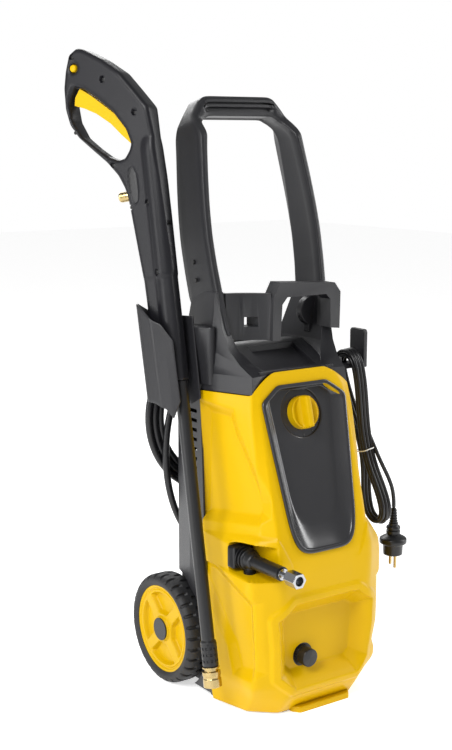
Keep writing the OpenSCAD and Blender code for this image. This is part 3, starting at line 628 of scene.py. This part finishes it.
def make_panel():
    outline = mirrored(PANEL_EDGE)
    centre = np.array([0.0, KNOB_S])
    angles = np.linspace(0, 2 * math.pi, 360, endpoint=False)
    profile = [(0.2, -1.5, 1), (0, 0.2, 1), (0, 2.0, 1), (0.5, 3.0, 1), (1.3, 3.4, 1), (4.6, 3.4, 1),
               (5.6, 3.0, 1), (6.2, 2.2, 1), (7.2, 0.8, 1.1), (18.4, -8.6, 1.9), (19.6, -9.4, 2.0),
               (21.0, -9.7, 2.05), (22.6, -9.75, 2.1)]
    rows = []
    for inset, z, factor in profile:
        r = ray_lengths(outline, angles, inset, centre, factor)
        r = blur(r, 3.0, 0, closed=True)
        rows.append((r, z))
    last = rows[-1][0]
    dish = np.minimum(36.0, last - 0.6)
    for f in np.linspace(0.1, 1, 6):
        rows.append((last + (dish + 1 - last) * f, -9.7))
    for step, z in [(0, -9.9), (0.6, -10.4), (1.0, -12.3)]:
        rows.append((dish - step, z))
    for r in (26, 18, 10, 4.1):
        rows.append((np.full(360, float(r)), -12.3))
    points = np.concatenate([np.stack([r * np.cos(angles), KNOB_S + r * np.sin(angles),
                                       np.full(360, float(z))], 1) for r, z in rows])
    o = new_object("panel", points, grid_faces(len(rows), 360, True), ON_PANEL)
    return dress(o, "panel_gloss", "chassis", ("control_panel",), sharp=40)


def make_panel_marks():
    """Generic dial ticks round the knob."""
    vertices, faces = [], []
    for degrees in (-90, -60, -30, 0, 30):
        a = math.radians(degrees)
        across, out = Vector((-math.sin(a), math.cos(a))), Vector((math.cos(a), math.sin(a)))
        for r, w in ((30.2, 0.5), (34.5, 0.5)):
            for m in (-w, w):
                q = out * r + across * m
                vertices.append((q.x, KNOB_S + q.y, -12.15))
        k = len(vertices)
        faces.append((k - 4, k - 3, k - 1, k - 2))
    o = new_object("panel_marks", vertices, faces, ON_PANEL)
    thick = o.modifiers.new("thickness", "SOLIDIFY")
    thick.thickness = 0.0003
    return dress(o, "grey_fitting", "chassis")


def make_knob():
    angles = np.linspace(0, 2 * math.pi, 160, endpoint=False)
    radii = np.array([0.01, 2, 3, 4, 5, 6, 7, 8, 9, 10, 11.5, 13, 15, 17, 18.5, 20, 21.2, 22.2, 23, 23.6,
                      23.9])
    rows = [np.stack([24 * np.cos(angles), 24 * np.sin(angles), np.full(160, -12.0)], 1),
            np.stack([24 * np.cos(angles), 24 * np.sin(angles), np.full(160, -0.8)], 1)]
    for r in radii[::-1]:
        x, y = r * np.cos(angles), r * np.sin(angles)
        rim = -1.6 * fade(np.full(160, r), 21.8, 24)
        edge = 24 - np.hypot(x * 0.3, y)
        bar = 12 * (1 - fade(np.abs(x), 3.4 - 0.03 * np.abs(y), 7.0)) * fade(edge, 0, 3.0)
        scoop = -3.5 * np.exp(-((np.abs(x) - 12) / 5.5) ** 2) * (1 - fade(np.full(160, r), 18, 23))
        rows.append(np.stack([x, y, rim + bar + scoop], 1))
    points = np.concatenate(rows)
    o = new_object("knob", points, grid_faces(len(rows), 160, True), ON_PANEL @ move(0, KNOB_S, 0))
    return dress(o, "yellow_trim", "knob", ("power_knob",), sharp=50)


make_front_cover()
make_panel()
make_panel_marks()
make_knob()

# ---------------------------------------------------------------- handle

HANDLE_STATIONS = [((91, -62), (84, -62)), ((95.5, -30), (86, -30)), ((99.5, 0), (88.4, 0)),
                   ((101, 22), (90, 22)), ((102, 41), (91.5, 41)),
                   ((103.3, 82), (92.5, 82)), ((101.5, 123), (90.5, 123)), ((98, 164), (86.5, 164)),
                   ((93.5, 205), (81.5, 205)), ((91, 232), (77, 230)), ((88.5, 247), (73.5, 243)),
                   ((80, 263), (67, 251)), ((66, 283), (57, 256.5)), ((56, 287), (50, 257)),
                   ((30, 287), (30, 257)), ((0, 287), (0, 257))]


def handle_section(outer, inner, front, back_out, back_in, groove):
    """Points round the band's section: from the outer front edge across, back and round again."""
    o, i = np.array(outer, float), np.array(inner, float)
    loop = [(0.0, front + 12), (0.02, front + 5), (0.14, front + 1.4), (0.34, front),
            (0.44 - 0.24 * groove, front),
            (0.46 - 0.24 * groove, front + 6 * groove), (0.50 - 0.1 * groove, front + 6.5 * groove),
            (0.52 - 0.1 * groove, front + 2 * groove), (0.56, front + 2 * groove),
            (0.58, front + 6.5 * groove), (0.76, front + 6 * groove), (0.78, front + 0.2),
            (0.90, front + 0.8), (1.0, front + 3.4),
            (1.0, front + 13), (0.965, front + 14.5), (0.94, front + 20), (0.90, back_in - 6),
            (0.94, back_in - 4),
            (0.96, back_in - 1.5), (0.9, back_in), (0.45, (back_in + back_out) / 2 + 1), (0.1, back_out),
            (0.0, back_out - 2), (0.0, back_out - 12)]
    return [(*(o + (i - o) * f), n) for f, n in loop]


def make_handle():
    rows = []
    stations = HANDLE_STATIONS + [((-a[0], a[1]), (-b[0], b[1])) for a, b in HANDLE_STATIONS[-2::-1]]
    fine = []
    for k in range(len(stations) - 1):
        for f in np.linspace(0, 1, 7)[:-1]:
            a = np.array(stations[k], float) * (1 - f) + np.array(stations[k + 1], float) * f
            fine.append(a)
    fine.append(np.array(stations[-1], float))
    fine = blur(np.array(fine), 1.4, 0)
    for outer, inner in fine:
        s = outer[1]
        front = 22 * float(fade(s, 222, 262))
        bar = float(fade(s, 225, 275))
        back_out = np.interp(s, [-62, 0, 110, 225], [58, 73, 71, 68]) - 10 * bar
        back_in = np.interp(s, [-62, 0, 110, 225], [50, 64, 59, 46]) + 10 * bar
        groove = float(fade(s, 264, 274)) * float(1 - fade(abs(outer[0]), 60, 70))
        section = handle_section(outer, inner, front, back_out, back_in, groove)
        rows.append([(x, n, q) for x, q, n in section])
    rows = np.array(rows)
    count, width = rows.shape[:2]
    faces = [f[::-1] for f in grid_faces(count, width, True)]
    faces += [tuple(range(width)), tuple(range((count - 1) * width, count * width))[::-1]]
    o = new_object("push_handle", rows.reshape(-1, 3), faces, ON_HANDLE)
    bevel = o.modifiers.new("bevel", "BEVEL")
    bevel.width = 0.0009
    bevel.segments = 2
    bevel.limit_method = "ANGLE"
    bevel.angle_limit = math.radians(35)
    return dress(o, "dark_shell", "chassis", ("handle_frame",), sharp=35)


make_handle()

# ---------------------------------------------------------------- spray gun

GUN_OUTLINE = [(-10, 58), (37, 58), (39, 172), (40, 207), (44, 247), (51, 320), (55, 336), (64, 355),
               (81, 376), (101, 395), (124, 418), (136, 438), (141, 462), (140, 492), (134, 516), (125, 538),
               (111, 545), (101, 542), (70, 522), (39, 497), (20, 472), (-2, 442), (-5, 402), (-8, 344),
               (-10.5, 240), (-10.5, 212), (-9.2, 208), (-8.8, 203)]
GUARD_HOLE = [(106, 485), (83, 467), (58, 443), (41, 417), (36, 396), (40, 388), (49, 378), (61, 377),
              (77, 384), (97, 400), (118, 419), (131, 444), (133, 467), (128, 480), (120, 491)]
GUN_SCREWS = [(119, 534), (69, 492), (21, 437), (129, 427), (70, 371), (17, 311), (47, 308), (12, 212)]


def resampled(outline, step, rounding):
    """A closed outline at an even step with its corners rounded off."""
    p = np.array(outline + outline[:1], float)
    s = np.concatenate([[0], np.cumsum(np.linalg.norm(np.diff(p, axis=0), axis=1))])
    n = int(s[-1] / step)
    t = np.linspace(0, s[-1], n, endpoint=False)
    q = np.stack([np.interp(t, s, p[:, i]) for i in range(2)], 1)
    return blur(q, rounding / step, 0, closed=True)


def plate(name, outline, holes, height, place, rings=(0.35, 1.0, 2.0, 3.4, 5.2, 7.4), spacing=3.2, base=0.0,
          rounding=2.5):
    """A plate whose top follows height(x, y, distance from the edge), with walls down to base."""
    loops = [resampled(outline, 2.2, rounding)] + [resampled(h, 2.2, 1.8) for h in holes]
    lists = [loop.tolist() for loop in loops]

    def depth(q):
        d = signed_distance(q[:, 0], q[:, 1], [tuple(a) for a in lists[0]])
        for hole in lists[1:]:
            d = np.minimum(d, -signed_distance(q[:, 0], q[:, 1], [tuple(a) for a in hole]))
        return d

    points = [np.concatenate(loops)]
    for ring in rings:
        for k, loop in enumerate(loops):
            step = np.roll(loop, -1, 0) - np.roll(loop, 1, 0)
            step /= np.maximum(np.linalg.norm(step, axis=1, keepdims=True), 1e-9)
            normal = np.stack([-step[:, 1], step[:, 0]], 1)
            area = np.sum(loop[:, 0] * np.roll(loop[:, 1], -1) - np.roll(loop[:, 0], -1) * loop[:, 1])
            inward = normal * np.sign(area) * (1 if k == 0 else -1)
            q = loop + inward * ring
            d = depth(q)
            points.append(q[d > ring * 0.93])
    low, high = loops[0].min(0), loops[0].max(0)
    gx, gy = np.meshgrid(np.arange(low[0], high[0], spacing), np.arange(low[1], high[1], spacing))
    q = np.stack([gx.ravel(), gy.ravel()], 1)
    q[:, 0] += (np.arange(len(gx)) % 2 * spacing / 2).repeat(gx.shape[1])
    points.append(q[depth(q) > rings[-1] + 1.2])
    every = np.concatenate(points)
    edges, start = [], 0
    for loop in loops:
        n = len(loop)
        edges += [(start + i, start + (i + 1) % n) for i in range(n)]
        start += n
    out = delaunay_2d_cdt([Vector(v) for v in every], edges, [], 0, 0.001)
    verts = np.array([tuple(v) for v in out[0]])
    tris = [tuple(f) for f in out[2]]
    middle = np.array([verts[list(f)].mean(0) for f in tris])
    keep = depth(middle) > 0
    tris = [f for f, k in zip(tris, keep) if k]
    d = np.maximum(depth(verts), 0)
    top = height(verts[:, 0], verts[:, 1], d)
    vertices = [(a, b, c) for (a, b), c in zip(verts, top)]
    faces = list(tris)
    sides = {}
    for f in tris:
        for i in range(3):
            e = (f[i], f[(i + 1) % 3])
            sides[e] = sides.get(e, 0) + 1
    border = [e for e in sides if (e[1], e[0]) not in sides]
    lower = {}
    for a, b in border:
        for v in (a, b):
            if v not in lower:
                lower[v] = len(vertices)
                vertices.append((verts[v][0], verts[v][1], base))
        faces.append((b, a, lower[a], lower[b]))
    return new_object(name, vertices, faces, place)


def round_over(d, radius, height):
    """Height of a plate with a rounded edge at distance d from its border."""
    k = np.clip(radius - d, 0, radius)
    return height - radius + np.sqrt(np.maximum(radius ** 2 - k ** 2, 0))


BARREL_AT = 5
BARREL_HALF_WIDTH = 17.0
BARREL_RISE = 15.8
SCREW_DEPTH = 4.5
BUTTON_AT = (118, 517)


def grip_part(s):
    """0 along the barrel, 1 up in the grip."""
    return fade(s, 380, 450)


def flat_rise(s):
    """Half the gun's thickness beside the barrel's ridge."""
    return 11.0 + 4.5 * grip_part(s)


def ridge_rise(t):
    """Half the gun's thickness across the barrel's round ridge."""
    return np.sqrt(np.maximum(1 - ((t - BARREL_AT) / BARREL_HALF_WIDTH) ** 2, 0)) * BARREL_RISE


def gun_height(t, s, d):
    """Half the gun's thickness at a point (t, s) that is d inside its outline."""
    flat = round_over(d, 6.5, flat_rise(s))
    barrel = np.minimum(ridge_rise(t), round_over(d, 9, BARREL_RISE)) * (1 - grip_part(s))
    front = ramp(s, 203, 208, 0.05)
    h = np.maximum(flat, barrel) * (0.88 + 0.12 * front)
    oval = np.hypot((t - 38) / 8.0, (s - 338) / 27.0)
    h = h - 1.8 * (1 - fade(oval, 0.9, 1.0))
    for a, b in GUN_SCREWS:
        r = np.hypot(t - a, s - b)
        h = h - SCREW_DEPTH * (1 - fade(r, 3.2, 3.9))
    return np.maximum(h, 0.6)


def make_gun():
    """Two gun halves with their grip pads, the brass inlet and the lock button."""
    for word, flip in (("left", 1), ("right", -1)):
        place = ON_GUN @ Matrix(((1, 0, 0, 0), (0, 0, flip, 0), (0, 1, 0, 0), (0, 0, 0, 1)))
        button = [(BUTTON_AT[0] + 5.7 * math.cos(a), BUTTON_AT[1] + 5.7 * math.sin(a))
                  for a in np.arange(16) * math.pi / 8]
        o = plate("gun_half_" + word, GUN_OUTLINE, [GUARD_HOLE, button], gun_height, place, spacing=2.6,
                  base=0.05)
        if flip > 0:
            o.data.flip_normals()
        dress(o, "gun_plastic", "gun", ("gun_shell_" + word,), sharp=45)
        pad = [(31, 318), (34, 311), (38, 309), (42, 311), (45, 318), (46, 340), (45, 358), (42, 365),
               (38, 367), (34, 365), (31, 358), (30.5, 340)]
        o = plate("grip_pad_" + word, pad, [], lambda x, y, d: round_over(d, 1.5, 10.0), place,
                  rings=(0.4, 0.9, 1.6), spacing=4, base=8.4, rounding=1.5)
        if flip > 0:
            o.data.flip_normals()
        dress(o, "cord_rubber", "gun", sharp=45)
    inlet = [(0, 40), (5.2, 40), (5.2, 52), (6.2, 53), (6.4, 54.5), (7.2, 55.2)]
    for k in range(5):
        inlet += [(7.2, 55.6 + 2.2 * k), (6.5, 56.5 + 2.2 * k), (7.2, 57.4 + 2.2 * k)]
    inlet += [(7.0, 68), (5.0, 68), (4.8, 67), (4.8, 50), (0, 50)]
    o = revolve("gun_inlet", inlet, ON_GUN @ move(0, 0, 325) @ turn("Y", 90), 48)
    dress(o, "brass_metal", "gun", ("gun_valve",), sharp=50)
    rows = [(0.01, -14.6), (3.6, -14.6), (5.0, -13.8), (5.4, -12.6), (5.4, 12.6), (5.0, 15.2), (3.6, 16.2),
            (0.01, 16.2)]
    o = revolve("lock_button_cap", rows, ON_GUN @ move(BUTTON_AT[0], 0, BUTTON_AT[1]) @ turn("X", -90), 40)
    dress(o, "yellow_trim", "lock", ("lock_button",), sharp=50)


def make_gun_screws():
    """Cross-slotted screw heads sunk in both sides of the gun."""
    angles = np.linspace(0, 2 * math.pi, 48, endpoint=False)
    radii = np.array([0.01, 0.4, 0.8, 1.2, 1.5, 1.8, 2.1, 2.4, 2.6, 2.8])
    points, faces = [], []
    for t, s in GUN_SCREWS:
        ridge = ridge_rise(t) * (1 - grip_part(s))
        floor = float(max(flat_rise(s), ridge)) - SCREW_DEPTH - 0.1
        for side in (-1, 1):
            base = len(points)
            for r in radii:
                x, y = r * np.cos(angles), r * np.sin(angles)
                slot = np.minimum(np.abs(x), np.abs(y))
                cut = 0.8 * (1 - fade(slot, 0.25, 0.5)) * (r < 1.9)
                height = floor + 1.2 - 0.6 * (r / 2.8) ** 4 - cut
                points += [(t + a, side * h, s + b) for a, b, h in zip(x, y, height)]
            points += [(t + 2.8 * math.cos(a), side * (floor - 0.6), s + 2.8 * math.sin(a)) for a in angles]
            ring = grid_faces(len(radii) + 1, 48, True)
            faces += [tuple(v + base for v in (f if side < 0 else f[::-1])) for f in ring]
    o = new_object("gun_screw_heads", points, faces, ON_GUN)
    dress(o, "grey_fitting", "gun", ("gun_fixings",), sharp=40)


def make_sheath():
    """Curved sheath that the gun stands in: a U round the front of the gun, open at the back."""
    near_top = ([-9, 7, 18, 41, 50], [114, 139, 145, 168, 172])
    near_low = ([-9, -5, 4, 14, 31, 50], [30, 23, 6, 20, 29, 33])
    far_top = ([-20, 30, 50], [146, 153, 160])
    far_low = ([-20, 0, 20, 50], [30, 22, 28, 34])
    path = [(t, -21.5 - 1.5 * math.sin(math.pi * (t + 18) / 66), 0) for t in np.linspace(-18, 42, 16)]
    path += [(42 + 7 * math.sin(a), -14.5 - 7 * math.cos(a), a / math.pi)
             for a in np.linspace(0.1, 1.47, 6)]
    path += [(49 + 1.0 * math.cos(math.pi * y / 24), y, 0.5 + y / 30) for y in np.linspace(-12, 12, 7)]
    path += [(42 + 7 * math.cos(a), 14.5 + 7 * math.sin(a), 1) for a in np.linspace(0.1, 1.47, 6)]
    path += [(t, 21.5 + 6.5 * min((41.5 - t) / 20, (t + 8.5) / 30), 1) for t in np.linspace(41.5, -8.5, 21)]
    rows = []
    for f in np.linspace(0, 1, 26):
        row = []
        for t, y, w in path:
            w = min(max(w, 0), 1)
            top = np.interp(t, *near_top) * w + np.interp(t, *far_top) * (1 - w)
            low = np.interp(t, *near_low) * w + np.interp(t, *far_low) * (1 - w)
            squeeze = 1 - 0.16 * (1 - f) * (1 if y > 0 else 0.5)
            row.append((t, y * squeeze if abs(y) > 15 else y, low + (top - low) * f))
        rows.append(row)
    rows = np.array(rows)
    o = new_object("gun_sheath", rows.reshape(-1, 3), grid_faces(*rows.shape[:2]), ON_GUN)
    thick = o.modifiers.new("thickness", "SOLIDIFY")
    thick.thickness = 0.0024
    thick.offset = 0
    edge = o.modifiers.new("edge", "BEVEL")
    edge.width = 0.0007
    edge.segments = 2
    edge.limit_method = "ANGLE"
    edge.angle_limit = math.radians(50)
    dress(o, "dark_shell", "chassis", ("gun_holster",), sharp=50)
    o = plate("sheath_bracket", [(-103, -2), (-112, -2), (-131, 42), (-103, 42)], [],
              lambda x, y, d: round_over(d, 2.5, 82), move(0, 0, 470), rings=(0.4, 1, 1.8, 2.8), spacing=6,
              base=0, rounding=2.5)
    dress(o, "dark_shell", "chassis", sharp=50)


def make_boot():
    """Ribbed rubber boot on the outlet and the square housing it grows from."""
    profile = [(3.2, 52), (13.5, 52), (13.5, 57)]
    for k in range(4):
        z = 59 + 6.2 * k
        profile += [(12.6, z), (13.2, z + 0.8), (17.0 - 0.5 * k, z + 1.6), (17.4 - 0.5 * k, z + 2.6),
                    (17.0 - 0.5 * k, z + 3.6), (13.2, z + 4.4)]
    profile += [(12.6, 84), (12.2, 90), (11.4, 93), (10.2, 94), (3.2, 94)]
    o = revolve("outlet_bellows", profile, move(-100, 0, 232) @ turn("X", 90), 72)
    dress(o, "cord_rubber", "chassis", ("outlet_boot",), sharp=50)
    valve = [(5, -8), (8.4, -8), (9.2, -7)]
    for k in range(3):
        valve += [(9.2, -6 + 2.4 * k), (8.0, -5.2 + 2.4 * k), (8.0, -4.6 + 2.4 * k), (9.2, -3.8 + 2.4 * k)]
    valve += [(9, 3), (5, 3)]
    o = revolve("outlet_drain", valve, move(-98, -78, 218), 40)
    dress(o, "cord_rubber", "chassis", sharp=50)
    block = plate("outlet_housing", [(-118, 217), (-84, 217), (-84, 249), (-118, 249)], [],
                  lambda x, y, d: round_over(d, 2.5, 15), move(0, -52, 0) @ turn("X", 90),
                  rings=(0.4, 1, 1.8, 2.6), spacing=5, rounding=2.2)
    dress(block, "cord_rubber", "chassis", sharp=60)


def make_inlet():
    """Stepped cap on the water inlet, with a knurled collar and the dark ring it sits in."""
    cap = [(0.01, 126.4), (11.6, 126.4), (12.8, 126), (13.3, 125.2), (13.3, 112.5), (13.5, 112), (14.6, 112),
           (15.0, 111.4), (15.0, 106.2), (14.2, 105.6), (9.4, 105.6), (9.4, 100)]
    place = move(-26, 0, 84) @ turn("X", 90)
    o = revolve("inlet_cap_shell", cap, place, 96, lobes=24, lobe_depth=0.7, lobe_range=(106, 111.6))
    dress(o, "lance_black", "cap", ("inlet_cap",), sharp=35)
    ring = [(11.5, 104.6), (11.5, 107.6), (15.4, 108.4), (17.2, 108.2), (17.6, 107.4), (17.6, 104.6)]
    o = revolve("inlet_ring", ring, place, 96)
    dress(o, "cord_rubber", "chassis", sharp=35)


def make_foot():
    """Low foot plate under the front of the cover."""
    outline = [(-44, -98), (-44, -107), (-36, -118), (54, -118), (62, -107), (62, -98)]
    o = plate("front_foot", outline, [], lambda x, y, d: round_over(d, 2.0, 9), move(0, 0, 0),
              rings=(0.4, 1, 2.2), spacing=8, base=0.3, rounding=1.6)
    dress(o, "yellow_shell", "chassis", sharp=50)


make_gun()
make_gun_screws()
make_sheath()
make_boot()
make_inlet()
make_foot()

# ---------------------------------------------------------------- wheels

AXLE = (94, 83)


def make_rim(side):
    """Wheel disc with an X of raised spokes between four pockets."""
    angles = np.linspace(0, 2 * math.pi, 288, endpoint=False)
    radii = np.concatenate([np.linspace(6.05, 18, 8), np.linspace(18.6, 20.5, 5), np.linspace(21.5, 56, 34),
                            np.linspace(56.6, 60, 6), np.linspace(60.8, 66, 6)])
    quarter = np.mod(angles + math.pi / 4, math.pi / 2) - math.pi / 4
    rows = []
    for r in radii:
        across = np.abs(r * np.sin(quarter))
        along = r * np.cos(quarter)
        gap = np.abs((across - along) / math.sqrt(2)) - 7.5
        pocket = fade(gap, 0, 4) * (1 - fade(np.full(288, r), 52, 56)) * fade(along, 22, 26)
        deep = 8.0 * pocket
        hub = 3.0 * (1 - fade(np.full(288, r), 18, 20))
        lip = -1.4 * fade(np.full(288, r), 58.5, 60) + 2.4 * fade(np.full(288, r), 61, 63.5)
        x = 135.6 - deep + hub + lip
        x = np.where(r < 12, 136.0, x) if r < 12 else x
        rows.append(np.stack([x, r * np.cos(angles), r * np.sin(angles)], 1))
    for r, x in ((66, 136.6), (66, 104), (58, 104.5), (57, 120), (20, 120), (18, 119), (18, 103.1),
                 (6.05, 103.1)):
        rows.append(np.stack([np.full(288, float(x)), r * np.cos(angles), r * np.sin(angles)], 1))
    points = np.concatenate(rows)
    faces = grid_faces(len(rows), 288, True)
    last = len(rows) - 1
    faces += [(last * 288 + j, last * 288 + (j + 1) % 288, (j + 1) % 288, j) for j in range(288)]
    name = "wheel_disc_right"
    if side < 0:
        points[:, 0] *= -1
        name = "wheel_disc_left"
    else:
        faces = [f[::-1] for f in faces]
    o = new_object(name, points, faces, move(0, *AXLE))
    word = "left" if side < 0 else "right"
    return dress(o, "yellow_trim", "wheel_" + word, ("rim_" + word,), sharp=40)


def make_tyre(side):
    """Hard tyre with rounded shoulders and staggered cross lugs."""
    lugs, per = 30, 12
    count = lugs * per
    angles = np.linspace(0, 2 * math.pi, count, endpoint=False)
    profile = [(66, 137.5), (67.5, 138.6), (70, 140.2), (73, 141), (76, 140.6), (78.6, 139.4), (80.6, 137.4),
               (82.2, 134.5), (83, 131), (83, 126), (83, 122.4), (83, 119.6), (83, 116), (83, 111),
               (82.2, 107.5), (80.6, 104.6), (78.6, 102.6), (76, 101.4), (73, 101), (70, 101.8), (67.5, 103.4),
               (66, 104.5)]
    rows = []
    for r, x in profile:
        phase = 0.0 if x > 121 else 0.5
        u = np.mod(np.arange(count) / per + phase, 1)
        notch = fade(np.abs(u - 0.5), 0.10, 0.17)
        depth = 3.2 * float(fade(r, 76, 80)) * float(fade(abs(x - 121), 1.5, 3))
        radius = r - depth * (1 - notch)
        rows.append(np.stack([np.full(count, float(x)), radius * np.cos(angles), radius * np.sin(angles)], 1))
    points = np.concatenate(rows)
    faces = grid_faces(len(rows), count, True)
    last = len(rows) - 1
    faces += [(last * count + j, last * count + (j + 1) % count, (j + 1) % count, j) for j in range(count)]
    word = "right"
    if side < 0:
        points[:, 0] *= -1
        word = "left"
    else:
        faces = [f[::-1] for f in faces]
    o = new_object("tread_" + word, points, faces, move(0, *AXLE))
    return dress(o, "tyre_black", "wheel_" + word, ("tyre_" + word,), sharp=38)


for side in (-1, 1):
    make_rim(side)
    make_tyre(side)

# ---------------------------------------------------------------- lance collar


def make_collar():
    """Ribbed grip ring above the quick coupler."""
    profile = [(9.6, -311), (11.2, -313), (11.6, -316), (11.6, -320), (11.6, -330), (11.6, -341), (11.4, -345),
               (10.6, -348.8), (9.0, -348.8)]
    o = revolve("lance_grip", profile, ON_GUN, 144, lobes=12, lobe_depth=1.6, lobe_range=(-342, -319))
    return dress(o, "lance_black", "lance", sharp=30)


make_collar()

# ---------------------------------------------------------------- the CAD nodes that show as they are

MOULDED = {"top_cover": 2.0, "carry_handle": 2.2, "rear_cover": 2.0, "cord_hook": 1.8,
           "hose_hook": 1.2, "base_plate": 1.0, "bottle_seat": 1.4, "outlet_nut": 0.5, "gun_trigger": 1.8,
           "hub_cap_left": 0.5, "hub_cap_right": 0.5, "plug_pins": 0.6,
           "quick_coupler": 0.4, "coupler_sleeve": 0.5, "pump_head": 1.2, "motor_casing": 1.2}
for name, width in MOULDED.items():
    refined(name, BODY_OF[name], width)
for name, o in NODES.items():
    o.data.materials.clear()
    o.data.materials.append(MATERIAL_OF_SLOT[SLOT_OF[name]])
